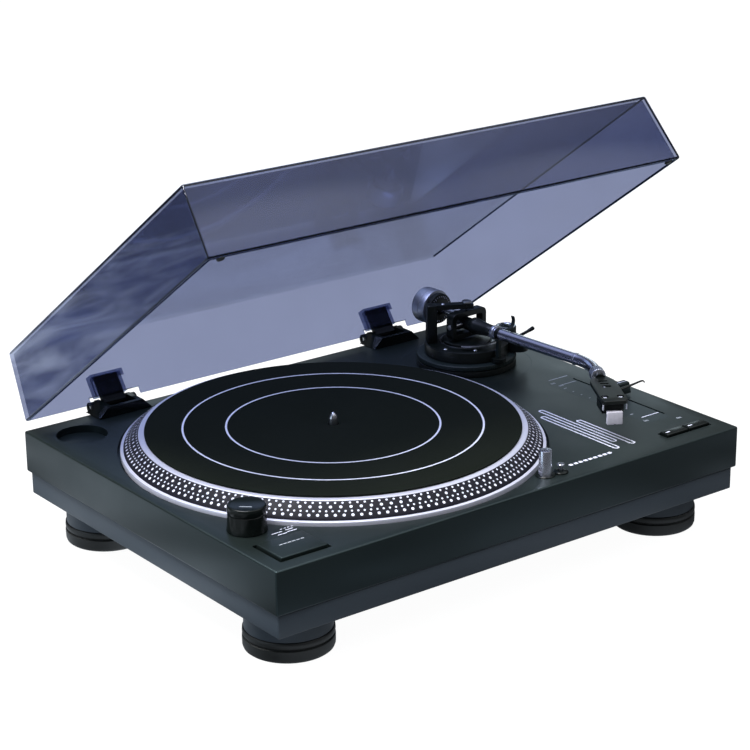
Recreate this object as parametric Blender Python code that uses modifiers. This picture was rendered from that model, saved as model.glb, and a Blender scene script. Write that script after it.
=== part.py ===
"""Turntable record player with a direct-drive platter, a curved tonearm and a hinged dust cover.

Lengths are written in millimetres and turned into metres by MM. The assembly frame has its origin at the
centre of the plinth's top face, with X to the right, Y to the back and Z up.
"""

import math

import bmesh
import bpy
from mathutils import Matrix, Vector

MM = 0.001
GAP = 0.3

# Plinth: an upper shell over a slightly narrower tray.
WIDTH = 450.0
DEPTH = 350.0
SHELL_HEIGHT = 34.3
SHELL_WALL = 3.5
SHELL_TOP = 8.0
EDGE_ROUND = 1.6
TRAY_INSET = 2.7
TRAY_BOTTOM = -53.2
TRAY_WALL = 4.0
FOOT_X = 181.4
FOOT_FRONT = -126.0
FOOT_REAR = 125.0
FOOT_RADIUS = 34.0
COLLAR_BOTTOM = -69.5
GROUND = -86.0

# Platter and motor, all on one vertical axis.
PLATTER_AT = (-46.4, 0.4)
PLATTER_RADIUS = 167.0
PLATTER_TOP = 13.5
MAT_RADIUS = 148.0
MAT_TOP = 15.4
WELL_RADIUS = 169.3
WELL_DEPTH = 4.0
SPINDLE_RADIUS = 3.6
SPINDLE_TIP = 25.0
MOTOR_HOLE = 66.0
ROUND_SIDES = 60

# Controls on the top face.
ADAPTER_AT = (-192.7, 139.2)
ADAPTER_RADIUS = 20.5
ADAPTER_DEPTH = 6.0
START_KEY = ((-210.5, -161.0), (-170.5, -130.0))
START_MARGIN = 2.2
SPEED_KEYS = ((164.5, -157.0), (210.6, -148.0))
SPEED_SPLIT = 188.0
SPEED_MARGIN = 1.5
KEY_TOP = 2.0
KEY_BOTTOM = -3.4
KEY_RECESS = 6.0
TOWER_AT = (-198.3, -101.3)
TOWER_RADIUS = 15.0
KNOB_RADIUS = 14.3
KNOB_TOP = 20.0
KNOB_SPLIT = 13.6
LIGHT_AT = (36.5, -156.3)
LIGHT_RADIUS = 5.0
LIGHT_TOP = 20.5
LIGHT_BUTTON_AT = (49.5, -159.2)
PITCH_X = 200.0
PITCH_Y = -61.9
PITCH_SLOT = (-117.0, -7.0)

# Tonearm: pivot, arm line and the bend towards the headshell.
PIVOT = (157.0, 82.5)
ARM_Z = 35.5
ARM_TURN = 3.9
TUBE_RADIUS = 4.7
TUBE_START = 37.3
BEND_AT = 146.5
BEND_ANGLE = 34.5
BEND_RADIUS = 50.0
NUT_SPAN = (20.3, 31.0)
SHELL_SPAN = (31.3, 93.4)
HEADSHELL_WIDTH = 21.0
HEADSHELL_TOP = 1.0
HEADSHELL_THICK = 3.0
COLUMN_RADIUS = 26.0
BASE_RADIUS = 43.0
BASE_TOP = 5.5
RING_TOP = 10.0
ARM_PLATE_RADIUS = 36.0
ARM_PLATE_TOP = 20.0
SEAT_RADIUS = 21.0
SEAT_TOP = 22.3
REAR_STEP = (28.5, 12.0)
REAR_STEP_ARC = (18.0, 122.0)
POST_AT = (-27.0, 14.5)
BEAM = (49.5, 54.0)
RING_HALF = 20.0
RING_SPAN = (24.0, 47.5)
WEIGHT_RADIUS = 15.5
WEIGHT_SPAN = (38.0, 54.0)
WEIGHT_RISE = 5.0
ANTISKATE = (37.0, -9.0)
CUE_AT = (35.5, -26.8)
REST_AT = 39.6

# Dust cover: rim rectangle, height and draft, hung on two rear hinges.
COVER_WIDTH = 447.6
COVER_DEPTH = 340.2
COVER_HEIGHT = 58.0
COVER_WALL = 3.0
COVER_DRAFT = 4.6
COVER_OPEN = 35.74
COVER_ROUND = 2.0
HINGE_AXIS = (180.0, 3.0)
HINGE_X = 140.0
PIN_RADIUS = 2.0
COVER_SETBACK = 7.08
COVER_DROP = 0.08
POCKET_HALF = 15.0
POCKET_DEPTH = (-1.5, 7.6)
POCKET_HEIGHT = (6.5, 25.0)
NOTCH_HALF = 24.0
TONGUE_HALF = 10.4
TONGUE_DEPTH = (0.5, 4.8)

# Rear socket panel, in the back wall of the upper shell.
PANEL_X = (-150.0, -20.0)
PANEL_Z = (-31.0, -10.0)
PANEL_FACE = 168.0

COVER_ANGLE = math.radians(COVER_OPEN)
REAR_RIM_Y = HINGE_AXIS[0] - COVER_SETBACK * math.cos(COVER_ANGLE) + COVER_DROP * math.sin(COVER_ANGLE)
COVER_REAR = REAR_RIM_Y - COVER_DRAFT * math.cos(COVER_ANGLE) + COVER_HEIGHT * math.sin(COVER_ANGLE)
ROUNDED_OFF = COVER_ROUND * (1 - math.sqrt(0.5)) * (math.cos(COVER_ANGLE) + math.sin(COVER_ANGLE))
SHIFT_Y = (DEPTH / 2 - COVER_REAR + ROUNDED_OFF) / 2


def clear_scene():
    for obj in list(bpy.data.objects):
        bpy.data.objects.remove(obj, do_unlink=True)


def new_collection(name):
    collection = bpy.data.collections.new(name)
    bpy.context.scene.collection.children.link(collection)
    return collection


clear_scene()
PARTS = new_collection("turntable")
CUTTERS = new_collection("cutters")


def surface(name, colour, roughness, metallic=0.0, alpha=1.0):
    material = bpy.data.materials.new(name)
    material.use_nodes = True
    shader = material.node_tree.nodes["Principled BSDF"]
    shader.inputs["Base Color"].default_value = (*colour, 1.0)
    shader.inputs["Roughness"].default_value = roughness
    shader.inputs["Metallic"].default_value = metallic
    shader.inputs["Alpha"].default_value = alpha
    return material


BLACK = surface("plinth_black", (0.012, 0.016, 0.018), 0.45)
SLATE = surface("tray_slate", (0.045, 0.058, 0.075), 0.5)
RUBBER = surface("rubber", (0.008, 0.009, 0.009), 0.7)
FELT = surface("felt", (0.008, 0.01, 0.009), 0.95)
ALLOY = surface("cast_aluminium", (0.6, 0.62, 0.68), 0.3, 1.0)
CHROME = surface("chrome", (0.75, 0.76, 0.82), 0.08, 1.0)
STEEL = surface("steel", (0.5, 0.5, 0.52), 0.3, 1.0)
GLOSS = surface("gloss_black", (0.01, 0.011, 0.012), 0.15)
GREY = surface("dark_grey", (0.03, 0.034, 0.034), 0.35)
SMOKE = surface("smoked_acrylic", (0.25, 0.27, 0.42), 0.05, 0.0, 0.45)
GUARD = surface("guard_clear", (0.7, 0.72, 0.78), 0.2, 0.0, 0.6)
BOARD = surface("circuit_board", (0.02, 0.09, 0.04), 0.6)
IRON = surface("laminated_iron", (0.12, 0.11, 0.1), 0.5, 0.8)


def frame_at(name, at=(0, 0, 0), turn=(0, 0, 0), parent=None):
    """An empty that other pieces are placed from."""
    empty = bpy.data.objects.new(name, None)
    PARTS.objects.link(empty)
    empty.parent = parent
    empty.location = Vector(at) * MM
    empty.rotation_euler = [math.radians(angle) for angle in turn]
    return empty


ASSEMBLY = frame_at("assembly", (0, SHIFT_Y, -GROUND))


def place(name, data, look, parent, at=(0, 0, 0), turn=(0, 0, 0)):
    piece = bpy.data.objects.new(name, data)
    PARTS.objects.link(piece)
    data.materials.append(look)
    piece.parent = parent
    piece.location = Vector(at) * MM
    piece.rotation_euler = [math.radians(angle) for angle in turn]
    return piece


def add_box(bm, low, high, top_inset=(0, 0)):
    """A box between two corners, whose top face may be drawn in to taper it."""
    low, high = Vector(low), Vector(high)
    size = (high - low) * MM
    middle = Matrix.Translation((high + low) * MM / 2)
    made = bmesh.ops.create_cube(bm, size=1.0, matrix=middle @ Matrix.Diagonal((*size, 1.0)))
    for vert in made["verts"]:
        if vert.co.z > (low.z + high.z) * MM / 2:
            vert.co.x -= math.copysign(top_inset[0] * MM, vert.co.x - (low.x + high.x) * MM / 2)
            vert.co.y -= math.copysign(top_inset[1] * MM, vert.co.y - (low.y + high.y) * MM / 2)


AXIS_TURN = {"X": Matrix.Rotation(math.pi / 2, 4, "Y"), "Y": Matrix.Rotation(-math.pi / 2, 4, "X")}


def add_cylinder(bm, radius, span, at=(0, 0), sides=24, axis="Z"):
    """A cylinder along an axis over a span; at gives its place in the other two, in the order X, Y, Z."""
    middle = (span[0] + span[1]) / 2
    centre = {"X": (middle, *at), "Y": (at[0], middle, at[1]), "Z": (*at, middle)}[axis]
    matrix = Matrix.Translation(Vector(centre) * MM) @ AXIS_TURN.get(axis, Matrix.Identity(4))
    bmesh.ops.create_cone(
        bm, cap_ends=True, segments=sides, radius1=radius * MM, radius2=radius * MM,
        depth=(span[1] - span[0]) * MM, matrix=matrix,
    )


def add_sector(bm, radii, angles, span, steps=12):
    """A part of a flat ring about the Z axis, between two radii and two angles in degrees."""
    inner, outer = arc((0, 0), radii[0], *angles, steps), arc((0, 0), radii[1], *angles, steps)
    rings = [[bm.verts.new(Vector((x, y, height)) * MM) for x, y in outer + inner[::-1]] for height in span]
    bm.faces.new(rings[0][::-1])
    bm.faces.new(rings[1])
    count = len(rings[0])
    for i in range(count):
        after = (i + 1) % count
        bm.faces.new((rings[0][i], rings[0][after], rings[1][after], rings[1][i]))


def mesh_of(bm, name):
    mesh = bpy.data.meshes.new(name)
    bm.to_mesh(mesh)
    bm.free()
    return mesh


def box(name, low, high, look, parent=None, round_edges=0.0, segments=2, top_inset=(0, 0)):
    bm = bmesh.new()
    add_box(bm, low, high, top_inset)
    piece = place(name, mesh_of(bm, name), look, parent or ASSEMBLY)
    if round_edges:
        bevel = piece.modifiers.new("round", "BEVEL")
        bevel.width = round_edges * MM
        bevel.segments = segments
        bevel.limit_method = "ANGLE"
    return piece


def turned(name, profile, look, parent=None, at=(0, 0, 0), turn=(0, 0, 0), sides=40, ring=False):
    """A shape turned about its Z axis. The profile is (radius, height) and runs down the outer side."""
    count = len(profile)
    edges = [(i, i + 1) for i in range(count - 1)] + ([(count - 1, 0)] if ring else [])
    mesh = bpy.data.meshes.new(name)
    mesh.from_pydata([(radius * MM, 0, height * MM) for radius, height in profile], edges, [])
    piece = place(name, mesh, look, parent or ASSEMBLY, at, turn)
    screw = piece.modifiers.new("turn", "SCREW")
    screw.steps = screw.render_steps = sides
    screw.use_merge_vertices = True
    screw.merge_threshold = 0.00001
    return piece


def ring_profile(inner, outer, low, high):
    return [(inner, high), (outer, high), (outer, low), (inner, low)]


def flat_plate(name, outlines, span, look, parent, at=(0, 0, 0), turn=(0, 0, 0)):
    """A flat outline, with holes if it has more than one loop, thickened over a span of its Z axis."""
    curve = bpy.data.curves.new(name, "CURVE")
    curve.dimensions = "2D"
    curve.fill_mode = "BOTH"
    curve.extrude = (span[1] - span[0]) / 2 * MM
    for outline in outlines:
        spline = curve.splines.new("POLY")
        spline.points.add(len(outline) - 1)
        for point, (x, y) in zip(spline.points, outline):
            point.co = (x * MM, y * MM, 0, 1)
        spline.use_cyclic_u = True
    piece = place(name, curve, look, parent, at, turn)
    lift = Vector((0, 0, (span[0] + span[1]) / 2 * MM))
    lift.rotate(piece.rotation_euler)
    piece.location += lift
    return piece


def rod(name, points, radius, look, parent, sides=8, taper=None):
    """A round bar through the points, which may thin towards its end."""
    curve = bpy.data.curves.new(name, "CURVE")
    curve.dimensions = "3D"
    curve.bevel_depth = radius * MM
    curve.bevel_resolution = (sides - 4) // 2
    curve.use_fill_caps = True
    spline = curve.splines.new("POLY")
    spline.points.add(len(points) - 1)
    for i, (point, where) in enumerate(zip(spline.points, points)):
        point.co = (*(Vector(where) * MM), 1)
        point.radius = 1.0 if taper is None else 1 + (taper - 1) * i / (len(points) - 1)
    return place(name, curve, look, parent)


def as_mesh(piece):
    """The same piece as a welded mesh, which can be cut and joined."""
    bpy.context.view_layer.update()
    graph = bpy.context.evaluated_depsgraph_get()
    mesh = bpy.data.meshes.new_from_object(piece.evaluated_get(graph))
    bm = bmesh.new()
    bm.from_mesh(mesh)
    bmesh.ops.remove_doubles(bm, verts=bm.verts, dist=0.00001)
    bmesh.ops.recalc_face_normals(bm, faces=bm.faces)
    bm.to_mesh(mesh)
    bm.free()
    name, parent, matrix = piece.name, piece.parent, piece.matrix_basis.copy()
    bpy.data.objects.remove(piece, do_unlink=True)
    solid = bpy.data.objects.new(name, mesh)
    PARTS.objects.link(solid)
    solid.parent = parent
    solid.matrix_basis = matrix
    return solid


def combine(piece, bm, operation, word):
    """Cuts a helper shape from the piece, or joins it on. The helper is in the piece's own frame."""
    helper = bpy.data.objects.new(f"{piece.name}_{word}", mesh_of(bm, f"{piece.name}_{word}"))
    CUTTERS.objects.link(helper)
    helper.parent = piece
    helper.hide_render = True
    helper.display_type = "WIRE"
    boolean = piece.modifiers.new(word, "BOOLEAN")
    boolean.operation = operation
    boolean.solver = "EXACT"
    boolean.object = helper


def arc(centre, radius, start, end, steps):
    """Points along an arc, in degrees."""
    angles = [math.radians(start + (end - start) * i / steps) for i in range(steps + 1)]
    return [(centre[0] + radius * math.cos(a), centre[1] + radius * math.sin(a)) for a in angles]


def rounded_rectangle(half_x, low_y, high_y, radius, steps=4):
    right, left = half_x - radius, radius - half_x
    low, high = low_y + radius, high_y - radius
    return (
        arc((right, low), radius, -90, 0, steps) + arc((right, high), radius, 0, 90, steps)
        + arc((left, high), radius, 90, 180, steps) + arc((left, low), radius, 180, 270, steps)
    )


def plinth_shell():
    """The upper shell, open below, with the platter well and the openings for every control."""
    shell = box(
        "top_shell", (-WIDTH / 2, -DEPTH / 2, -SHELL_HEIGHT), (WIDTH / 2, DEPTH / 2, 0), BLACK,
        round_edges=EDGE_ROUND,
    )
    inside_x, inside_y = WIDTH / 2 - SHELL_WALL, DEPTH / 2 - SHELL_WALL
    hollow = bmesh.new()
    add_box(hollow, (-inside_x, -inside_y, -SHELL_HEIGHT - 5), (inside_x, inside_y, -SHELL_TOP))
    combine(shell, hollow, "DIFFERENCE", "hollow")
    wells = bmesh.new()
    add_cylinder(wells, WELL_RADIUS, (-WELL_DEPTH, 5), PLATTER_AT, ROUND_SIDES)
    add_cylinder(wells, ADAPTER_RADIUS, (-ADAPTER_DEPTH, 5), ADAPTER_AT, 40)
    add_box(wells, (*[v - START_MARGIN for v in START_KEY[0]], -KEY_RECESS),
            (*[v + START_MARGIN for v in START_KEY[1]], 5))
    add_box(wells, (*[v - SPEED_MARGIN for v in SPEED_KEYS[0]], -KEY_RECESS),
            (*[v + SPEED_MARGIN for v in SPEED_KEYS[1]], 5))
    combine(shell, wells, "DIFFERENCE", "wells")
    through = bmesh.new()
    low, high = -SHELL_TOP - 2, 2
    add_cylinder(through, MOTOR_HOLE, (low, high), PLATTER_AT, 40)
    add_cylinder(through, COLUMN_RADIUS + 0.6, (low, high), PIVOT, 40)
    add_cylinder(through, LIGHT_RADIUS + 0.5, (low, high), LIGHT_AT, 24)
    add_cylinder(through, 2.0, (low, high), LIGHT_BUTTON_AT, 16)
    add_box(through, (PITCH_X - 1, PITCH_SLOT[0], low), (PITCH_X + 1, PITCH_SLOT[1], high))
    for middle in key_middles():
        add_cylinder(through, 3.5, (low, high), middle, 16)
    combine(shell, through, "DIFFERENCE", "through")
    panel = bmesh.new()
    add_box(panel, (PANEL_X[0], DEPTH / 2 - SHELL_WALL - 2, PANEL_Z[0]), (PANEL_X[1], DEPTH / 2 + 2, PANEL_Z[1]))
    combine(shell, panel, "DIFFERENCE", "panel")


def key_boxes():
    """The three sprung keys: start and stop, and the two speeds, as low and high corners."""
    (low_x, low_y), (high_x, high_y) = SPEED_KEYS
    return {
        "start_stop_key": START_KEY,
        "speed_key_33": ((low_x, low_y), (SPEED_SPLIT - 0.6, high_y)),
        "speed_key_45": ((SPEED_SPLIT + 0.6, low_y), (high_x, high_y)),
    }


def key_middles():
    return [((low[0] + high[0]) / 2, (low[1] + high[1]) / 2) for low, high in key_boxes().values()]


def keys():
    for (name, (low, high)), middle in zip(key_boxes().items(), key_middles()):
        key = box(name, (*low, KEY_BOTTOM), (*high, KEY_TOP), GREY, round_edges=0.8)
        stem = bmesh.new()
        add_cylinder(stem, 2.8, (-14, KEY_BOTTOM + 1), middle, 12)
        combine(key, stem, "UNION", "stem")


def lower_tray():
    """The tray under the shell, with a collar moulded on for each foot."""
    half_x, half_y = WIDTH / 2 - TRAY_INSET, DEPTH / 2 - TRAY_INSET
    top = -SHELL_HEIGHT - GAP
    tray = box("base_tray", (-half_x, -half_y, TRAY_BOTTOM), (half_x, half_y, top), SLATE, round_edges=2.0,
               segments=1)
    hollow = bmesh.new()
    add_box(hollow, (TRAY_WALL - half_x, TRAY_WALL - half_y, TRAY_BOTTOM + TRAY_WALL),
            (half_x - TRAY_WALL, half_y - TRAY_WALL, top + 5))
    combine(tray, hollow, "DIFFERENCE", "hollow")
    collars, pockets = bmesh.new(), bmesh.new()
    for _, at in feet():
        add_cylinder(collars, FOOT_RADIUS - 1.2, (COLLAR_BOTTOM, TRAY_BOTTOM + 1), at, 28)
        add_cylinder(pockets, 14.0, (COLLAR_BOTTOM - 2, COLLAR_BOTTOM + 10), at, 12)
    combine(tray, collars, "UNION", "collars")
    combine(tray, pockets, "DIFFERENCE", "pockets")


def feet():
    return [
        (f"isolation_foot_{end}_{side}", (sign * FOOT_X, y))
        for end, y in (("front", FOOT_FRONT), ("rear", FOOT_REAR))
        for side, sign in (("left", -1), ("right", 1))
    ]


def isolation_feet():
    """A rubber lip over a wide disc, on a stem that sits in the collar."""
    top, lip, groove = COLLAR_BOTTOM - GAP, -74.6, -76.2
    profile = [
        (0, top + 9), (12, top + 9), (12, top), (FOOT_RADIUS - 0.4, top), (FOOT_RADIUS - 0.2, lip),
        (FOOT_RADIUS - 1.6, (lip + groove) / 2), (FOOT_RADIUS, groove), (FOOT_RADIUS, GROUND), (0, GROUND),
    ]
    for name, at in feet():
        turned(name, profile, RUBBER, at=(*at, 0), sides=28)


def platter_group():
    """The turning group: platter, mat, spindle and the motor's magnet ring."""
    at = (*PLATTER_AT, 0)
    edge = PLATTER_RADIUS
    profile = [
        (SPINDLE_RADIUS + GAP, PLATTER_TOP), (edge - 15, PLATTER_TOP), (edge - 14.2, PLATTER_TOP - 0.5),
        (edge - 3.4, 4.6), (edge - 2.4, 2.4), (edge - 0.6, 2.2), (edge, 1.6), (edge, -2.6), (edge - 4, -2.6),
        (edge - 7, 2.0), (edge - 22, 8.8), (16, 8.8), (14, 3.6), (SPINDLE_RADIUS + GAP, 3.6),
    ]
    turned("platter", profile, ALLOY, at=at, sides=ROUND_SIDES, ring=True)
    turned("slipmat", ring_profile(SPINDLE_RADIUS + 0.5, MAT_RADIUS, PLATTER_TOP + GAP, MAT_TOP), FELT,
           at=at, sides=ROUND_SIDES, ring=True)
    turned("spindle", [(0, SPINDLE_TIP), (0.9, SPINDLE_TIP - 0.4), (SPINDLE_RADIUS, SPINDLE_TIP - 5.5),
                       (SPINDLE_RADIUS, -28.5), (0, -28.5)], STEEL, at=at, sides=20)
    turned("magnet_ring", ring_profile(52, 60, -6, 8.5), IRON, at=at, sides=24, ring=True)


def motor():
    """The fixed half of the motor: a bearing housing hung under the well, and the coil ring on it."""
    at = (*PLATTER_AT, 0)
    flange = -SHELL_TOP - GAP
    turned("bearing_housing", [
        (0, -29), (SPINDLE_RADIUS + 0.4, -29), (SPINDLE_RADIUS + 0.4, 3.2), (12, 3.2), (12, flange),
        (78, flange), (78, flange - 2.5), (12, flange - 2.5), (12, -32), (0, -32),
    ], ALLOY, at=at, sides=24)
    turned("motor_stator", ring_profile(12.5, 50, flange + GAP, 2), IRON, at=at, sides=24, ring=True)


def inside_boards():
    floor = TRAY_BOTTOM + TRAY_WALL + GAP
    box("main_board", (20, -90, floor), (180, 40, floor + 1.6), BOARD)
    box("transformer", (-206, 60, floor), (-156, 110, floor + 30), IRON, round_edges=2.0)


def strobe_tower_and_knob():
    """The fixed tower that holds the strobe lamp, with the power knob turning on top of it."""
    at = (*TOWER_AT, 0)
    tower = turned("strobe_tower", [
        (0, KNOB_SPLIT), (KNOB_RADIUS - 0.9, KNOB_SPLIT), (KNOB_RADIUS - 0.3, 3.5), (TOWER_RADIUS, 2.0),
        (TOWER_RADIUS, GAP), (0, GAP),
    ], GLOSS, at=at, sides=24)
    window = bmesh.new()
    add_box(window, (KNOB_RADIUS - 3, -4, 5), (KNOB_RADIUS + 3, 4, 10))
    combine(tower, window, "DIFFERENCE", "window")
    tower.rotation_euler.z = math.atan2(PLATTER_AT[1] - TOWER_AT[1], PLATTER_AT[0] - TOWER_AT[0])
    turned("power_knob", [
        (0, KNOB_TOP), (KNOB_RADIUS - 1, KNOB_TOP), (KNOB_RADIUS, KNOB_TOP - 1),
        (KNOB_RADIUS, KNOB_SPLIT + GAP), (0, KNOB_SPLIT + GAP),
    ], GLOSS, at=at, sides=24)


def target_light():
    """A pop-up stylus lamp and the button that releases it."""
    lamp = turned("target_light", [
        (0, LIGHT_TOP), (LIGHT_RADIUS - 0.6, LIGHT_TOP), (LIGHT_RADIUS, LIGHT_TOP - 0.8), (LIGHT_RADIUS, -28),
        (0, -28),
    ], CHROME, at=(*LIGHT_AT, 0), sides=24)
    lens = bmesh.new()
    add_cylinder(lens, 1.8, (0, LIGHT_RADIUS + 2), (0, LIGHT_TOP - 4), 12, "Y")
    combine(lamp, lens, "DIFFERENCE", "lens")
    lamp.rotation_euler.z = math.radians(35)
    turned("light_button", [
        (0, 7.2), (2.6, 7.2), (3.0, 6.8), (3.0, 6.0), (1.5, 5.8), (1.5, -14), (0, -14),
    ], ALLOY, at=(*LIGHT_BUTTON_AT, 0), sides=16)


def pitch_control():
    """The pitch fader and the grooved track that carries it below the shell."""
    fader = box("pitch_fader", (PITCH_X - 11, PITCH_Y - 5, 1.5), (PITCH_X + 11, PITCH_Y + 5, 11), GREY,
                round_edges=0.8, top_inset=(1.0, 1.6))
    blade = bmesh.new()
    add_box(blade, (PITCH_X - 0.7, PITCH_Y - 4, -14), (PITCH_X + 0.7, PITCH_Y + 4, 2.5))
    combine(fader, blade, "UNION", "blade")
    track_top = -SHELL_TOP - GAP
    track = box("pitch_track", (PITCH_X - 6, PITCH_SLOT[0] - 6, track_top - 11),
                (PITCH_X + 6, PITCH_SLOT[1] + 6, track_top), STEEL)
    groove = bmesh.new()
    add_box(groove, (PITCH_X - 1.6, PITCH_SLOT[0], track_top - 8), (PITCH_X + 1.6, PITCH_SLOT[1], track_top + 2))
    combine(track, groove, "DIFFERENCE", "groove")


def arm_base():
    """The fixed collar, the height ring, and the plate on the column that the ring raises."""
    at = (*PIVOT, 0)
    bore = COLUMN_RADIUS + 0.6
    turned("tonearm_base", ring_profile(bore, BASE_RADIUS, GAP, BASE_TOP), BLACK, at=at, sides=32,
           ring=True)
    turned("height_ring", ring_profile(bore, BASE_RADIUS, BASE_TOP + GAP, RING_TOP), GREY, at=at, sides=32,
           ring=True)
    low = RING_TOP + GAP
    plate = turned("arm_plate", [
        (0, SEAT_TOP), (SEAT_RADIUS, SEAT_TOP), (SEAT_RADIUS, ARM_PLATE_TOP),
        (ARM_PLATE_RADIUS - 1, ARM_PLATE_TOP), (ARM_PLATE_RADIUS, ARM_PLATE_TOP - 1), (ARM_PLATE_RADIUS, low),
        (COLUMN_RADIUS, low), (COLUMN_RADIUS, -14), (0, -14),
    ], BLACK, at=at, sides=32)
    dial_lobe = bmesh.new()
    add_cylinder(dial_lobe, 11, (low + 0.4, ARM_PLATE_TOP - 0.6), ANTISKATE, 24)
    combine(plate, dial_lobe, "UNION", "dial_lobe")
    cue_lobe = bmesh.new()
    add_cylinder(cue_lobe, 9, (low + 0.8, ARM_PLATE_TOP - 1.2), CUE_AT, 24)
    combine(plate, cue_lobe, "UNION", "cue_lobe")
    rest_lobe = bmesh.new()
    foot = rest_point()
    add_cylinder(rest_lobe, 6.5, (low + 0.6, 14), foot, 20)
    combine(plate, rest_lobe, "UNION", "rest_lobe")
    hole = bmesh.new()
    add_cylinder(hole, 1.9, (PISTON_BOTTOM - GAP, 30), CUE_PISTON, 12)
    combine(plate, hole, "DIFFERENCE", "piston_hole")
    step = bmesh.new()
    add_sector(step, (REAR_STEP[0], ARM_PLATE_RADIUS + 4), REAR_STEP_ARC, (REAR_STEP[1], SEAT_TOP + 4))
    combine(plate, step, "DIFFERENCE", "rear_step")


def rest_point():
    """Where the arm rest stands, from the pivot: straight under the arm tube."""
    angle = math.radians(ARM_TURN)
    return (REST_AT * math.sin(angle), -REST_AT * math.cos(angle))


CUE_ARC = (-138.0, -40.0)
CUE_RING = (27.0, 30.5)
CUE_PISTON = arc((0, 0), sum(CUE_RING) / 2, CUE_ARC[1] - 4, CUE_ARC[1], 1)[0]
CUE_BAR = (23.0, 24.6)
PISTON_BOTTOM = 12.0


def cueing():
    """The cue lever, and the curved bar under the arm that it raises."""
    column = ARM_COLUMN
    bar = as_mesh(flat_plate(
        "cue_platform",
        [arc((0, 0), CUE_RING[1], *CUE_ARC, 14) + arc((0, 0), CUE_RING[0], *reversed(CUE_ARC), 14)],
        CUE_BAR, ALLOY, column,
    ))
    piston = bmesh.new()
    lift = (CUE_BAR[0] + CUE_BAR[1]) / 2
    add_cylinder(piston, 1.5, (PISTON_BOTTOM - lift, CUE_BAR[0] + 0.8 - lift), CUE_PISTON, 12)
    combine(bar, piston, "UNION", "piston")
    axle = frame_at("cue_axle", (*CUE_AT, 22.6), (0, 0, -16.2), column)
    lever = as_mesh(rod("cue_lever", [(0, 0, 0), (4, 0, 1.6), (9, 0, 3.6), (14.7, 0, 6.2)], 1.5, GREY, axle,
                        taper=1.25))
    barrel = bmesh.new()
    add_cylinder(barrel, 2.3, (-3.5, 3.5), (0, 0), 16, "Y")
    combine(lever, barrel, "UNION", "barrel")


def arm_bracket():
    """The fixed post and beam that hold the upper yaw bearing, with its adjusting screw."""
    reach = math.hypot(*POST_AT)
    frame = frame_at("bracket", (0, 0, 0), (0, 0, math.degrees(math.atan2(POST_AT[1], POST_AT[0]))), ARM_COLUMN)
    post = box("arm_bracket", (reach - 4.5, -4.5, ARM_PLATE_TOP + GAP), (reach + 4.5, 4.5, BEAM[1]), GREY, frame,
               round_edges=0.6, segments=1)
    beam = bmesh.new()
    add_box(beam, (-5.5, -4.0, BEAM[0]), (reach, 4.0, BEAM[1] - 0.4))
    combine(post, beam, "UNION", "beam")
    hole = bmesh.new()
    add_cylinder(hole, 3.0, (BEAM[0] - 3, BEAM[1] + 3), (0, 0), 16)
    combine(post, hole, "DIFFERENCE", "hole")
    turned("top_bearing_screw", [
        (0, BEAM[1] + 1.8), (3.6, BEAM[1] + 1.8), (4.2, BEAM[1] + 1.2), (4.2, BEAM[1] + GAP), (2.6, BEAM[1] + GAP),
        (2.6, RING_SPAN[1] + 1.6), (0.8, RING_SPAN[1] + GAP), (0, RING_SPAN[1] + GAP),
    ], STEEL, ARM_COLUMN, sides=20)


def gimbal():
    """The upright ring that yaws on the column, with two inward pins that the arm tips on."""
    outer = rounded_rectangle(RING_HALF, RING_SPAN[0] - ARM_Z, RING_SPAN[1] - ARM_Z, 4.6, 3)
    inner = rounded_rectangle(RING_HALF - 5, RING_SPAN[0] + 4.5 - ARM_Z, RING_SPAN[1] - 5 - ARM_Z, 2, 2)
    ring = as_mesh(flat_plate("gimbal_ring", [outer, inner], (-4, 4), GREY, ARM_YOKE, turn=(90, 0, 0)))
    pins = bmesh.new()
    for side in (-1, 1):
        span = sorted((side * 5.9, side * (RING_HALF - 2)))
        add_cylinder(pins, 1.5, span, (0, 0), 12, "X")
    combine(ring, pins, "UNION", "pins")


def bend_points():
    """Centre line of the arm tube, from its start through the bend to the locking nut."""
    tangent = BEND_RADIUS * math.tan(math.radians(BEND_ANGLE) / 2)
    start = BEND_AT - tangent
    points = [(0, -TUBE_START, 0)]
    steps = 10
    for i in range(steps + 1):
        angle = math.radians(BEND_ANGLE) * i / steps
        points.append((BEND_RADIUS * (math.cos(angle) - 1), -start - BEND_RADIUS * math.sin(angle), 0))
    angle = math.radians(BEND_ANGLE)
    reach = NUT_SPAN[0] - GAP
    points.append((-reach * math.sin(angle), -BEND_AT - reach * math.cos(angle), 0))
    return points


FORWARD = (90, 0, 0)


def arm():
    """The front of the tipping group: boss, collar and curved tube."""
    turned("arm_boss", [
        (0, 33), (5.2, 33), (5.8, 22), (7.2, 13), (7.2, 9), (5.5, 5.5), (5.5, -5.5), (8.2, -9), (8.2, -14),
        (0, -14),
    ], BLACK, TONEARM, turn=FORWARD, sides=16)
    turned("arm_collar", [(0, 37), (5.6, 37), (6.0, 36.4), (6.0, 33.9), (5.6, 33.3), (0, 33.3)], ALLOY, TONEARM,
           turn=FORWARD, sides=16)
    rod("arm_tube", bend_points(), TUBE_RADIUS, CHROME, TONEARM, sides=12)


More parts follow.
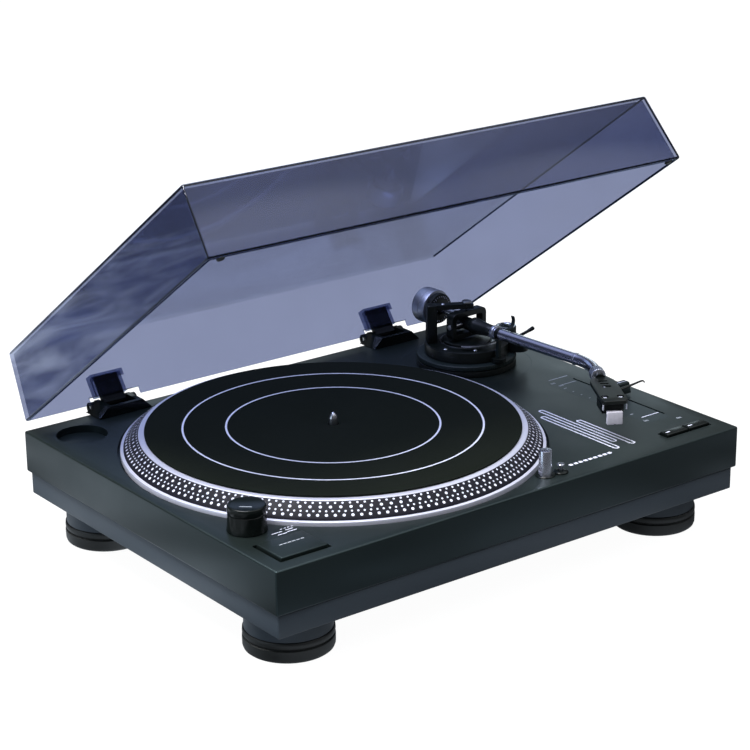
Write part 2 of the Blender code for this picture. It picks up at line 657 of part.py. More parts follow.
def headshell_group():
    """The bayonet nut, and beyond the bend the headshell, its finger lift and the cartridge."""
    turned("locking_nut", [
        (0, NUT_SPAN[1]), (5.4, NUT_SPAN[1]), (6.2, NUT_SPAN[1] - 0.8), (6.2, NUT_SPAN[0] + 1.2),
        (5.2, NUT_SPAN[0]), (0, NUT_SPAN[0]),
    ], ALLOY, HEAD, turn=FORWARD, sides=16)
    start, end = SHELL_SPAN
    half = HEADSHELL_WIDTH / 2
    outline = [
        (-5, -start - 2), (5, -start - 2), (half - 1, -start - 12), (half, -start - 16), (half, -end + 3),
        (half - 2.5, -end), (-half + 2.5, -end), (-half, -end + 3), (-half, -start - 16), (-half + 1, -start - 12),
    ]
    slots = [
        rounded_rectangle(3.6, -start - 16.5, -start - 14, 1.0, 2),
        rounded_rectangle(3.6, -start - 22.5, -start - 20, 1.0, 2),
    ]
    holes = [arc((side * 6.2, -end + 11), 2.8, 0, 330, 11) for side in (-1, 1)]
    plate_span = (HEADSHELL_TOP - HEADSHELL_THICK, HEADSHELL_TOP)
    shell = as_mesh(flat_plate("headshell", [outline, *slots, *holes], plate_span, GREY, HEAD))
    neck = bmesh.new()
    middle = sum(plate_span) / 2
    add_cylinder(neck, 4.4, (-start - 6, -start), (0, -middle), 16, "Y")
    combine(shell, neck, "UNION", "neck")
    rod("finger_lift", [(half + 0.8, -62, -0.3), (15, -60, 0), (22, -56.5, 1), (28, -53.5, 2), (31, -52.2, 2.2),
                        (32.4, -51.6, 0.8)], 0.9, BLACK, HEAD, sides=8)
    box("cartridge", (-8, -end + 5, -13.5), (8, -end + 32, HEADSHELL_TOP - HEADSHELL_THICK - GAP), BLACK, HEAD,
        round_edges=0.8)
    box("stylus_guard", (-6.3, -end + 0.4, -18.5), (6.3, -end + 4.7, -4.5), GUARD, HEAD, round_edges=0.6)


def counterweight_group():
    """The rear stub, set above the tube's axis, with the threaded sleeve, the weight and the scale ring on it."""
    rear = frame_at("rear_axis", (0, 0, WEIGHT_RISE), (0, 0, 0), TONEARM)
    front, back = -WEIGHT_SPAN[0], -WEIGHT_SPAN[1]
    turned("rear_stub", [(0, -14.3), (3.0, -14.3), (3.0, back - 6), (0, back - 6)], STEEL, rear, turn=FORWARD,
           sides=16)
    turned("weight_sleeve", ring_profile(3.3, 4.9, back + 2, front), BLACK, rear, turn=FORWARD, sides=20, ring=True)
    turned("counterweight", [
        (5.2, front), (WEIGHT_RADIUS - 1, front), (WEIGHT_RADIUS, front - 1), (WEIGHT_RADIUS, back + 1.5),
        (WEIGHT_RADIUS - 1.5, back), (5.2, back),
    ], ALLOY, rear, turn=FORWARD, sides=28, ring=True)
    turned("counterweight_dial", [
        (5.2, front + 5), (12.6, front + 5), (13.4, front + 4.2), (13.4, front + GAP), (5.2, front + GAP),
    ], BLACK, rear, turn=FORWARD, sides=24, ring=True)


def arm_rest():
    """A post with a cradle that is open on its inner side and above, and a clip hinged on its outer side."""
    rest = frame_at("rest", (*rest_point(), 0), (0, 0, ARM_TURN), ARM_COLUMN)
    inner, outer = TUBE_RADIUS + 0.7, TUBE_RADIUS + 2.3
    cradle_arc = (arc((0, 0), outer, -115, -8, 8), arc((0, 0), inner, -8, -115, 8))
    cradle = as_mesh(flat_plate("arm_rest", [cradle_arc[0] + cradle_arc[1]], (-1.7, 1.7), GREY, rest,
                                at=(0, 0, ARM_Z), turn=(90, 0, 0)))
    post = bmesh.new()
    add_box(post, (-1.6, 14 + GAP - ARM_Z, -1.6), (1.6, -inner - 0.6, 1.6))
    combine(cradle, post, "UNION", "post")
    hinge = frame_at("rest_hinge", (outer + 0.9, 0, ARM_Z + 0.6), (0, 0, 0), rest)
    clip_curve = arc((-outer - 0.9, -0.6), inner + 1.9, 14, 150, 9)
    clip_inner = arc((-outer - 0.9, -0.6), inner + 0.7, 150, 14, 9)
    opened = flat_plate("rest_clip", [clip_curve + clip_inner], (-1.7, 1.7), GREY, hinge, turn=(90, 0, 0))
    opened.matrix_basis = Matrix.Rotation(math.radians(115), 4, "Y") @ opened.matrix_basis


def antiskate():
    turned("antiskate_dial", [
        (0, 29), (7.6, 29), (9, 28), (9, ARM_PLATE_TOP + GAP), (0, ARM_PLATE_TOP + GAP),
    ], GREY, ARM_COLUMN, at=(*ANTISKATE, 0), sides=24)


def cover():
    """The clear cover, with a notch in its back wall and a moulded pocket behind it at each hinge."""
    half_x = COVER_WIDTH / 2
    shift = Vector((0, -COVER_SETBACK, COVER_DROP))
    low = Vector((-half_x, -COVER_DEPTH, 0)) + shift
    high = Vector((half_x, 0, COVER_HEIGHT)) + shift
    lid = box("cover", low, high, SMOKE, COVER, round_edges=COVER_ROUND, top_inset=(COVER_DRAFT, COVER_DRAFT))
    slope = COVER_DRAFT / COVER_HEIGHT
    below, inside = 2.0, COVER_HEIGHT - COVER_WALL
    wall = Vector((COVER_WALL, COVER_WALL, 0))
    flare = Vector((slope * below, slope * below, below))
    hollow = bmesh.new()
    add_box(hollow, low + wall - flare, Vector((high.x, high.y, shift.z + inside)) - wall + Vector((*flare.xy, 0)),
            (slope * (inside + below), slope * (inside + below)))
    combine(lid, hollow, "DIFFERENCE", "hollow")
    pockets, spaces, notches = bmesh.new(), bmesh.new(), bmesh.new()
    for side in (-1, 1):
        middle = Vector((side * HINGE_X, 0, 0)) + shift
        rear, top = POCKET_DEPTH[1], POCKET_HEIGHT[1]
        add_box(pockets, middle + Vector((-POCKET_HALF, POCKET_DEPTH[0], POCKET_HEIGHT[0])),
                middle + Vector((POCKET_HALF, rear, top)))
        add_box(spaces, middle + Vector((2 - POCKET_HALF, -0.2, 0)),
                middle + Vector((POCKET_HALF - 2, rear - 2, top - 1.6)))
        add_box(notches, middle + Vector((-NOTCH_HALF, -5.4, -2)), middle + Vector((NOTCH_HALF, 2, 6)))
    combine(lid, notches, "DIFFERENCE", "notches")
    combine(lid, pockets, "UNION", "pockets")
    combine(lid, spaces, "DIFFERENCE", "spaces")


def hinges():
    """Each hinge: a base on the plinth with two knuckles, a pin, and a tongue that fits the cover's pocket."""
    axis_y, axis_z = HINGE_AXIS
    for side, word in ((-1, "left"), (1, "right")):
        middle = side * HINGE_X
        base = box(f"hinge_base_{word}", (middle - 25, 158, GAP), (middle + 25, axis_y, 8.8), GLOSS,
                   top_inset=(8.5, 0))
        knuckles = bmesh.new()
        add_cylinder(knuckles, 4.7, (middle - 21.5, middle + 21.5), HINGE_AXIS, 24, "X")
        combine(base, knuckles, "UNION", "knuckles")
        slot = bmesh.new()
        add_box(slot, (middle - 12.4, 161.5, -10), (middle + 12.4, axis_y + 12, 14))
        combine(base, slot, "DIFFERENCE", "slot")
        bore = bmesh.new()
        add_cylinder(bore, PIN_RADIUS + GAP, (middle - 30, middle + 30), HINGE_AXIS, 16, "X")
        combine(base, bore, "DIFFERENCE", "bore")
        pin = bmesh.new()
        add_cylinder(pin, PIN_RADIUS, (middle - 20.5, middle + 20.5), HINGE_AXIS, 16, "X")
        place(f"hinge_pin_{word}", mesh_of(pin, f"hinge_pin_{word}"), STEEL, ASSEMBLY)
        barrel = bmesh.new()
        add_cylinder(barrel, 4.4, (middle - 11, middle + 11), (0, 0), 24, "X")
        tongue = place(f"hinge_tongue_{word}", mesh_of(barrel, f"hinge_tongue_{word}"), GLOSS, COVER)
        leg = bmesh.new()
        add_box(leg, (middle - TONGUE_HALF, TONGUE_DEPTH[0] - COVER_SETBACK, 0),
                (middle + TONGUE_HALF, TONGUE_DEPTH[1] - COVER_SETBACK, 23))
        combine(tongue, leg, "UNION", "leg")
        bore = bmesh.new()
        add_cylinder(bore, PIN_RADIUS + GAP, (middle - 12, middle + 12), (0, 0), 16, "X")
        combine(tongue, bore, "DIFFERENCE", "bore")


SOCKET_Z = -20.5
SOCKETS = {"ground_terminal": -28.0, "rca_jack_right": -46.0, "rca_jack_left": -62.0}
SWITCH_X = -80.0
USB_X = -98.0
INLET_X = -129.0


def rear_sockets():
    """The socket panel and what is on it, all within the back face of the shell."""
    inner = DEPTH / 2 - SHELL_WALL - GAP
    panel = box("rear_socket_plate", (PANEL_X[0] - 2, PANEL_FACE - 2, PANEL_Z[0] - 2),
                (PANEL_X[1] + 2, inner, PANEL_Z[1] + 1.5), STEEL)
    tray = bmesh.new()
    add_box(tray, (PANEL_X[0] + 0.5, PANEL_FACE, PANEL_Z[0] + 0.5), (PANEL_X[1] - 0.5, inner + 4, PANEL_Z[1] - 0.5))
    add_box(tray, (INLET_X - 13.4, PANEL_FACE - 6, SOCKET_Z - 9.4), (INLET_X + 13.4, PANEL_FACE + 1, SOCKET_Z + 9.4))
    combine(panel, tray, "DIFFERENCE", "tray")
    face = PANEL_FACE + GAP
    for name, x in SOCKETS.items():
        length = DEPTH / 2 - 0.6 - face
        bore = [(0, length - 5), (1.7, length - 5), (1.7, length)] if "rca" in name else [(0, length)]
        turned(name, bore + [(4.1, length), (4.1, 1.5), (5.5, 1.5), (5.5, 0), (0, 0)], STEEL,
               at=(x, face, SOCKET_Z), turn=(-90, 0, 0), sides=20)
    box("line_switch", (SWITCH_X - 3, face, SOCKET_Z - 2), (SWITCH_X + 1, face + 3.5, SOCKET_Z + 2), GREY)
    usb = box("usb_socket", (USB_X - 6.2, face, SOCKET_Z - 6), (USB_X + 6.2, DEPTH / 2 - 0.4, SOCKET_Z + 6), STEEL)
    mouth = bmesh.new()
    add_box(mouth, (USB_X - 4.3, face + 1, SOCKET_Z - 4), (USB_X + 4.3, DEPTH / 2 + 2, SOCKET_Z + 4))
    combine(usb, mouth, "DIFFERENCE", "mouth")
    inlet = box("mains_inlet", (INLET_X - 13, 152, SOCKET_Z - 9), (INLET_X + 13, DEPTH / 2 - 1.5, SOCKET_Z + 9), BLACK)
    mouth = bmesh.new()
    add_box(mouth, (INLET_X - 10.5, 158, SOCKET_Z - 6.5), (INLET_X + 10.5, DEPTH / 2 + 2, SOCKET_Z + 6.5))
    combine(inlet, mouth, "DIFFERENCE", "mouth")


ARM_COLUMN = frame_at("arm_column", (*PIVOT, 0), parent=ASSEMBLY)
ARM_YOKE = frame_at("arm_yoke", (0, 0, ARM_Z), (0, 0, ARM_TURN), ARM_COLUMN)
TONEARM = frame_at("tonearm", parent=ARM_YOKE)
HEAD = frame_at("head", (0, -BEND_AT, 0), (0, 0, -BEND_ANGLE), TONEARM)
COVER = frame_at("cover_axis", (0, *HINGE_AXIS), (-COVER_OPEN, 0, 0), ASSEMBLY)

plinth_shell()
lower_tray()
isolation_feet()
platter_group()
motor()
inside_boards()
keys()
strobe_tower_and_knob()
target_light()
pitch_control()
arm_base()
cueing()
arm_bracket()
gimbal()
arm()
headshell_group()
counterweight_group()
arm_rest()
antiskate()
cover()
hinges()
rear_sockets()
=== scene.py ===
"""Looks of a turntable record player with a hinged dust cover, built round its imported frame.

Lengths are in millimetres and turned into metres by MM. DECK is the frame at the centre of the plinth's top
face, with X to the right, Y to the back and Z up; the other frames stand on it.
"""

import math

import bmesh
import bpy
from mathutils import Matrix, Vector


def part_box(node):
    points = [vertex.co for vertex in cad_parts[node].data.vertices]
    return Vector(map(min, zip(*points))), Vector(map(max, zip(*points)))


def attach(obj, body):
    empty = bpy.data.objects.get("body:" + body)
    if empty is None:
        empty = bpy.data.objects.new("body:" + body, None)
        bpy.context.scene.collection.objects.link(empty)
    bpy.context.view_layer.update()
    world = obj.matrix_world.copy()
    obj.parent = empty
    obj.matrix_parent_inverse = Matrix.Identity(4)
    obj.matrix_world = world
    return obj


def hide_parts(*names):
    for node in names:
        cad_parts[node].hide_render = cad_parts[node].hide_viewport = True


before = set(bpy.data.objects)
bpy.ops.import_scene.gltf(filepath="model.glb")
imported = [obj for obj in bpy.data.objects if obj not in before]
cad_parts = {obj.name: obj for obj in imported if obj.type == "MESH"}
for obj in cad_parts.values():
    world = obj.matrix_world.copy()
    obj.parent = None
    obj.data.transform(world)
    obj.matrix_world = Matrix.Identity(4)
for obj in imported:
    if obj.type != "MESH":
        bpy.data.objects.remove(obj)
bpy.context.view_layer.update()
MM = 0.001


def shift(x=0.0, y=0.0, z=0.0):
    return Matrix.Translation(Vector((x, y, z)) * MM)


def turn(angle, axis):
    return Matrix.Rotation(math.radians(angle), 4, axis)


def middle_of(node):
    low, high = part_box(node)
    return (low + high) / 2


# Frames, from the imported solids.
SHELL_LOW, SHELL_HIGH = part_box("top_shell")
DECK = Matrix.Translation((*((SHELL_LOW + SHELL_HIGH) / 2).xy, SHELL_HIGH.z))
PLATTER_AT = (middle_of("platter") - DECK.translation) / MM
PIVOT_AT = (middle_of("tonearm_base") - DECK.translation) / MM
PLATTER = DECK @ shift(PLATTER_AT.x, PLATTER_AT.y)
PIVOT = DECK @ shift(PIVOT_AT.x, PIVOT_AT.y)
ARM_Z = 35.5
ARM_TURN = 3.9
ARM = PIVOT @ shift(z=ARM_Z) @ turn(ARM_TURN, "Z")
BEND_AT, BEND_ANGLE, BEND_RADIUS = 146.5, 34.5, 50.0
HEAD = ARM @ shift(y=-BEND_AT) @ turn(-BEND_ANGLE, "Z")
WEIGHT_RISE = 5
REAR_ARM = ARM @ shift(z=WEIGHT_RISE)
HINGE_X = 140
HINGE_AXIS = (180, 3)
COVER_OPENING = 35.74
HINGE = DECK @ shift(0, *HINGE_AXIS) @ turn(-COVER_OPENING, "X")
COVER = HINGE @ shift(y=-7.08, z=0.08)
FORWARD = turn(90, "X")
BACKWARD = turn(-90, "X")
UNTURNED = Matrix.Identity(4)

# Places on the deck.
ADAPTER_AT = (-192.7, 139.2)
TOWER_AT = (-198.3, -101.3)
LAMP_AT = (36.5, -156.3)
LAMP_BUTTON_AT = (49.5, -159.2)
FADER_AT = (200, -61.9)
KEY_BOTTOM, KEY_TOP = -3.4, 2.0
MARK_ON_KEY = (KEY_TOP - 0.02, KEY_TOP + 0.06)
PRINT_SPAN = (-0.04, 0.07)

# Places round the arm's pivot.
SKATE_AT = (37, -9)
CUE_AT = (35.5, -26.8)
REST_REACH = 39.6
PISTON_RADIUS, PISTON_ANGLE = 28.75, math.radians(-44)
PISTON_AT = (PISTON_RADIUS * math.cos(PISTON_ANGLE), PISTON_RADIUS * math.sin(PISTON_ANGLE))

# The face that the rear sockets stand on, and the tray's underside.
SOCKET_FACE = 168
TRAY_BOTTOM = -53.2


# Shapes.
def new_shapes(count):
    return [bmesh.new() for _ in range(count)]


def add_box(bm, low, high, inset=(0, 0), matrix=UNTURNED):
    """A box between two corners, whose top face may be drawn in."""
    low, high = Vector(low), Vector(high)
    middle = (high + low) * MM / 2
    base = Matrix.Translation(middle) @ Matrix.Diagonal((*((high - low) * MM), 1.0))
    for vert in bmesh.ops.create_cube(bm, size=1.0, matrix=base)["verts"]:
        if vert.co.z > middle.z:
            vert.co.x -= math.copysign(inset[0] * MM, vert.co.x - middle.x)
            vert.co.y -= math.copysign(inset[1] * MM, vert.co.y - middle.y)
        vert.co = matrix @ vert.co


def add_turned(bm, profile, steps=64, matrix=UNTURNED, ring=False, mats=None, ribs=0):
    """A profile of (radius, height) turned about Z; a third value in a point is how deep its ribs are cut."""
    rows = []
    for radius, height, *cut in profile:
        if radius <= 0:
            rows.append([bm.verts.new(matrix @ Vector((0, 0, height * MM)))] * steps)
            continue
        row = []
        for k in range(steps):
            angle = math.tau * k / steps
            depth = cut[0] * (0.5 - 0.5 * math.cos(ribs * angle)) if cut else 0.0
            size = (radius - depth) * MM
            point = Vector((size * math.cos(angle), size * math.sin(angle), height * MM))
            row.append(bm.verts.new(matrix @ point))
        rows.append(row)
    last = len(rows) - 1
    pairs = [(i, i + 1) for i in range(last)] + ([(last, 0)] if ring else [])
    faces = []
    for i, (a, b) in enumerate(pairs):
        for k in range(steps):
            after = (k + 1) % steps
            corners = list(dict.fromkeys((rows[a][k], rows[a][after], rows[b][after], rows[b][k])))
            if len(corners) > 2:
                face = bm.faces.new(corners)
                face.material_index = mats[i] if mats else 0
                faces.append(face)
    bmesh.ops.recalc_face_normals(bm, faces=faces)


def lathe(profile, steps=64, matrix=UNTURNED, **options):
    """A new shape of one turned profile."""
    bm = bmesh.new()
    add_turned(bm, profile, steps, matrix, **options)
    return bm


def add_rod(bm, radius, span, at=(0, 0), axis="Z", steps=24, matrix=UNTURNED):
    """A cylinder along an axis; at is its place in the other two, in the order X, Y, Z."""
    aim = {"X": turn(90, "Y"), "Y": turn(-90, "X"), "Z": UNTURNED}[axis]
    place = {"X": shift(0, *at), "Y": shift(at[0], 0, at[1]), "Z": shift(*at)}[axis]
    profile = [(0, span[0]), (radius, span[0]), (radius, span[1]), (0, span[1])]
    add_turned(bm, profile, steps, matrix @ place @ aim)


def add_plate(bm, outline, span, matrix=UNTURNED, mat=0):
    """A flat outline thickened over a span of Z."""
    rows = [[bm.verts.new(matrix @ (Vector((x, y, z)) * MM)) for x, y in outline] for z in span]
    faces = [bm.faces.new(rows[0][::-1]), bm.faces.new(rows[1])]
    for i in range(len(outline)):
        j = (i + 1) % len(outline)
        faces.append(bm.faces.new((rows[0][i], rows[0][j], rows[1][j], rows[1][i])))
    for face in faces:
        face.material_index = mat
    bmesh.ops.recalc_face_normals(bm, faces=faces)


def add_pipe(bm, points, radius, sides=16, flat=1.0):
    """A round bar through points; radius may be a list, and flat squeezes the bar in its height."""
    points = [Vector(p) for p in points]
    last = len(points) - 1
    radii = radius if isinstance(radius, list) else [radius] * len(points)
    rows, up = [], None
    for i, point in enumerate(points):
        along = (points[min(i + 1, last)] - points[max(i - 1, 0)]).normalized()
        if up is None:
            up = Vector((0, 0, 1)) if abs(along.z) < 0.9 else Vector((1, 0, 0))
        side = along.cross(up).normalized()
        up = side.cross(along).normalized()
        row = []
        for k in range(sides):
            angle = math.tau * k / sides
            off = side * math.cos(angle) + up * math.sin(angle) * flat
            row.append(bm.verts.new((point + off * radii[i]) * MM))
        rows.append(row)
    faces = []
    for a, b in zip(rows, rows[1:]):
        for k in range(sides):
            after = (k + 1) % sides
            faces.append(bm.faces.new((a[k], a[after], b[after], b[k])))
    faces += [bm.faces.new(rows[0][::-1]), bm.faces.new(rows[-1])]
    bmesh.ops.recalc_face_normals(bm, faces=faces)


def arc(centre, radius, start, end, steps):
    angles = [math.radians(start + (end - start) * i / steps) for i in range(steps + 1)]
    return [(centre[0] + radius * math.cos(a), centre[1] + radius * math.sin(a)) for a in angles]


def rounded(low, high, radius, steps=6):
    """Outline of a rectangle with round corners."""
    (x0, y0), (x1, y1) = low, high
    r = radius
    return (
        arc((x1 - r, y0 + r), r, -90, 0, steps) + arc((x1 - r, y1 - r), r, 0, 90, steps)
        + arc((x0 + r, y1 - r), r, 90, 180, steps) + arc((x0 + r, y0 + r), r, 180, 270, steps)
    )


def add_screw(bm, radius, height, at, down=False):
    """A domed screw head with a dimple in its middle."""
    place = shift(*at, height) @ (turn(180, "X") if down else UNTURNED)
    profile = [(0, 0.3), (0.24, 0.32), (0.3, 0.5), (0.75, 0.36), (1, 0.05), (1, -0.1), (0, -0.1)]
    add_turned(bm, [(radius * across, radius * up) for across, up in profile], 24, place)


def add_frame(bm, outer, inner, span):
    """A flat band between two outlines with the same number of points."""
    rows = [[bm.verts.new(Vector((x, y, z)) * MM) for x, y in line] for line in (outer, inner) for z in span]
    faces = []
    for a, b in ((0, 1), (1, 3), (3, 2), (2, 0)):
        for i in range(len(outer)):
            j = (i + 1) % len(outer)
            faces.append(bm.faces.new((rows[a][i], rows[a][j], rows[b][j], rows[b][i])))
    bmesh.ops.recalc_face_normals(bm, faces=faces)


def mesh_of(bm):
    mesh = bpy.data.meshes.new("piece")
    bm.to_mesh(mesh)
    bm.free()
    return mesh


def new_object(name, data):
    obj = bpy.data.objects.new(name, data)
    bpy.context.scene.collection.objects.link(obj)
    return obj


def add_bevel(obj, width, segments=3, mat=-1):
    bevel = obj.modifiers.new("edges", "BEVEL")
    bevel.width = width * MM
    bevel.segments = segments
    bevel.limit_method = "ANGLE"
    bevel.angle_limit = math.radians(30)
    bevel.material = mat


CUT, JOIN = "DIFFERENCE", "UNION"


def carved(bm, cuts, bevel=0.0, segments=3, mat=-1):
    """The mesh of a shape whose edges are rounded, with the other shapes then cut from it or joined to it."""
    base = new_object("base", mesh_of(bm))
    base.data.materials.append(None)
    base.data.materials.append(None)
    if bevel:
        add_bevel(base, bevel, segments, mat)
    helpers = []
    for operation, tool in cuts:
        helper = new_object("tool", mesh_of(tool))
        helpers.append(helper)
        modifier = base.modifiers.new("cut", "BOOLEAN")
        modifier.operation = operation
        modifier.solver = "EXACT"
        modifier.object = helper
    bpy.context.view_layer.update()
    depsgraph = bpy.context.evaluated_depsgraph_get()
    done = bpy.data.meshes.new_from_object(base.evaluated_get(depsgraph))
    for obj in [base, *helpers]:
        bpy.data.objects.remove(obj, do_unlink=True)
    done.materials.clear()
    return done


def put(name, shape, looks, body="root", at=DECK, stands_for=(), bevel=0.0, segments=2, smooth=32):
    """Places a piece, gives it its look, hangs it on its CAD body and hides the CAD nodes it stands for."""
    mesh = mesh_of(shape) if isinstance(shape, bmesh.types.BMesh) else shape
    mesh.name = name
    looks = looks if isinstance(looks, list) else [looks]
    for look in looks:
        mesh.materials.append(look)
    mesh.shade_smooth()
    mesh.set_sharp_from_angle(angle=math.radians(smooth))
    obj = new_object(name, mesh)
    obj.matrix_world = at
    if bevel:
        add_bevel(obj, bevel, segments)
        obj.modifiers["edges"].harden_normals = True
    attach(obj, body)
    if stands_for:
        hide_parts(*([stands_for] if isinstance(stands_for, str) else stands_for))
    return obj


# Materials.
def new_material(name, slot=None):
    material = bpy.data.materials.new(name)
    material.use_nodes = True
    if slot:
        material["slot"] = slot
    return material


def feed(tree, node, feeds):
    """Links inputs of a node, each to an output given as (node, output)."""
    for key, (source, output) in feeds.items():
        tree.links.new(source.outputs[output], node.inputs[key])


def new_node(tree, kind, values=None, feeds=None, **options):
    """A shader node with its options, then its input values, then its links."""
    node = tree.nodes.new("ShaderNode" + kind)
    for key, value in options.items():
        setattr(node, key, value)
    for key, value in (values or {}).items():
        node.inputs[key].default_value = value
    feed(tree, node, feeds or {})
    return node


def new_ramp(tree, limits, source, **options):
    """A map of a value from one range to another; limits holds both ranges."""
    values = dict(zip(("From Min", "From Max", "To Min", "To Max"), limits))
    return new_node(tree, "MapRange", values, {"Value": source}, **options)


def new_noise(tree, scale, detail, source, **values):
    return new_node(tree, "TexNoise", {"Scale": scale, "Detail": detail, **values}, {"Vector": source})


def new_blend(tree, colour, share, noise):
    """A colour that goes with a noise from a share darker to a share lighter."""
    dark = (*[c * (1 - share) for c in colour], 1)
    light = (*[min(1, c * (1 + share)) for c in colour], 1)
    return new_node(tree, "Mix", {"A": dark, "B": light}, {"Factor": (noise, "Fac")}, data_type="RGBA")


def look(
    name, slot, colour, roughness, metallic=0.0, grain=1500.0, tint=0.15, swing=0.06, bump=0.04, rings=0.0,
    stretch=(1, 1, 1), detail=3.0, depth=0.0002, **settings
):
    """A painted, moulded or metal surface: a colour that varies a little, an uneven polish and a fine relief.

    grain is the scale of the fine noise, tint how far the colour varies, swing how far the polish does, and
    rings the scale of turned grooves, which take the place of the noise in the relief.
    """
    material = new_material(name, slot)
    tree = material.node_tree
    shader = tree.nodes["Principled BSDF"]
    shader.inputs["Metallic"].default_value = metallic
    for key, value in settings.items():
        shader.inputs[key.replace("_", " ")].default_value = value
    coords = new_node(tree, "TexCoord")
    mapping = new_node(tree, "Mapping", {"Scale": stretch}, {"Vector": (coords, "Object")})
    fine = new_noise(tree, grain, detail, (mapping, "Vector"))
    broad = new_noise(tree, 14.0, 4.0, (coords, "Object"))
    blend = new_blend(tree, colour, tint, fine)
    limits = (0.3, 0.7, max(0.02, roughness - swing), min(1.0, roughness + swing))
    polish = new_ramp(tree, limits, (broad, "Fac"))
    height = fine
    if rings:
        values = {"Scale": rings, "Distortion": 1.5}
        height = new_node(tree, "TexWave", values, {"Vector": (coords, "Object")}, wave_type="RINGS",
                          rings_direction="Z")
    relief = new_node(tree, "Bump", {"Strength": bump, "Distance": depth}, {"Height": (height, "Fac")})
    feed(tree, shader, {
        "Base Color": (blend, "Result"), "Roughness": (polish, "Result"), "Normal": (relief, "Normal"),
    })
    return material


def smoked(name, slot, tint, gloss, roughness=0.03):
    """Smoked acrylic: a tinted clear wall that mirrors more at a shallow angle, with faint wipe marks."""
    material = new_material(name, slot)
    tree = material.node_tree
    tree.nodes.remove(tree.nodes["Principled BSDF"])
    coords = new_node(tree, "TexCoord")
    wipe = new_noise(tree, 22.0, 5.0, (coords, "Object"))
    shade = new_blend(tree, tint, 0.03, wipe)
    clear = new_node(tree, "BsdfTransparent", feeds={"Color": (shade, "Result")})
    polish = new_ramp(tree, (0, 1, roughness, roughness + 0.04), (wipe, "Fac"))
    mirror = new_node(tree, "BsdfGlossy", {"Color": (*gloss, 1)}, {"Roughness": (polish, "Result")})
    facing = new_node(tree, "LayerWeight", {"Blend": 0.5})
    power = new_node(tree, "Math", {1: 4.0}, {0: (facing, "Facing")}, operation="POWER")
    edge = new_ramp(tree, (0, 1, 0.03, 0.75), (power, "Value"))
    feeds = {"Fac": (edge, "Result"), 1: (clear, "BSDF"), 2: (mirror, "BSDF")}
    mix = new_node(tree, "MixShader", feeds=feeds)
    feed(tree, tree.nodes["Material Output"], {"Surface": (mix, "Shader")})
    return material


BLACK = look("plinth_paint", "plinth_black", (0.0078, 0.0112, 0.0102), 0.36, grain=3000, bump=0.05,
             Specular_IOR_Level=0.4, Specular_Tint=(0.62, 0.88, 1.0, 1.0))
SLATE = look("tray_moulding", "tray_slate", (0.05, 0.068, 0.088), 0.5, grain=1800, bump=0.12, swing=0.05)
RUBBER = look("foot_rubber", "rubber", (0.008, 0.0095, 0.009), 0.5, grain=900, bump=0.15, swing=0.08)
FELT = look("mat_felt", "felt", (0.006, 0.0085, 0.006), 0.95, grain=2600, tint=0.6, bump=0.8, detail=6,
            stretch=(1, 0.35, 1), depth=0.0004, Specular_IOR_Level=0.1)
SILVER = look("turned_silver", "platter_alloy", (0.62, 0.63, 0.74), 0.42, 0.35, rings=1400, bump=0.1)
ALLOY = look("satin_alloy", "cast_aluminium", (0.6, 0.62, 0.7), 0.28, 1.0, grain=2200, bump=0.05)
CAST = look("weight_metal", "cast_aluminium", (0.5, 0.52, 0.6), 0.42, 1.0, grain=2200, bump=0.06)
CHROME = look("arm_chrome", "chrome", (0.86, 0.86, 0.98), 0.2, 1.0, grain=400, tint=0.03, swing=0.02,
              bump=0.01)
STEEL = look("plain_steel", "steel", (0.5, 0.51, 0.54), 0.3, 1.0, grain=2000, bump=0.06, stretch=(1, 1, 12))
GLOSS = look("gloss_plastic", "gloss_black", (0.004, 0.006, 0.0055), 0.2, grain=600, bump=0.015, swing=0.03,
             Specular_IOR_Level=0.2)
SATIN = look("satin_metal_black", "satin_black", (0.004, 0.006, 0.005), 0.34, grain=2500, bump=0.05,
             Specular_IOR_Level=0.35)
GREY = look("dark_plastic", "dark_grey", (0.012, 0.019, 0.018), 0.4, grain=2500, bump=0.06,
            Specular_IOR_Level=0.3)
BAND = look("strobe_band", "satin_black", (0.006, 0.006, 0.012), 0.5, rings=900, bump=0.05,
            Specular_IOR_Level=0.2)
# Pale print colour; the headshell screws also take it as a painted sheen.
PRINT_AND_SHEEN = look("white_print_and_sheen", "platter_alloy", (0.72, 0.74, 0.86), 0.55, grain=4000, tint=0.08, bump=0.03)
FAINT = look("grey_print", "platter_alloy", (0.3, 0.33, 0.37), 0.6, grain=4000, tint=0.1, bump=0.03)
PANEL = look("scale_panel", "plinth_black", (0.014, 0.02, 0.021), 0.4, grain=3000, bump=0.05,
             Specular_IOR_Level=0.4, Specular_Tint=(0.62, 0.88, 1.0, 1.0))
GUARD = look("guard_plastic", "guard_clear", (0.78, 0.76, 0.86), 0.25, grain=500, tint=0.1, bump=0.02,
             Alpha=0.93)
BOARD = look("board_green", "circuit_board", (0.02, 0.09, 0.04), 0.5, grain=700, tint=0.3)
IRON = look("iron_stack", "laminated_iron", (0.13, 0.12, 0.11), 0.5, 0.8, grain=300, stretch=(1, 1, 30),
            bump=0.3)
LAMP = look("lamp_red", "gloss_black", (0.35, 0.02, 0.01), 0.1, grain=500, bump=0.02)
SIGNAL_RED = look("signal_red", "steel", (0.4, 0.02, 0.015), 0.35, grain=800)
SIGNAL_WHITE = look("signal_white", "steel", (0.65, 0.65, 0.63), 0.35, grain=800)
SMOKE = smoked("smoked_wall", "smoked_acrylic", (0.455, 0.485, 0.6), (0.85, 0.88, 1.0))
# A much darker copy of the smoked acrylic: painted shade for the dark look of the cover's rounded edges and
# rim.
SMOKE_EDGE_SHADE = smoked("smoked_edge_painted_shade", "smoked_acrylic", (0.05, 0.07, 0.11), (0.6, 0.75, 0.9))


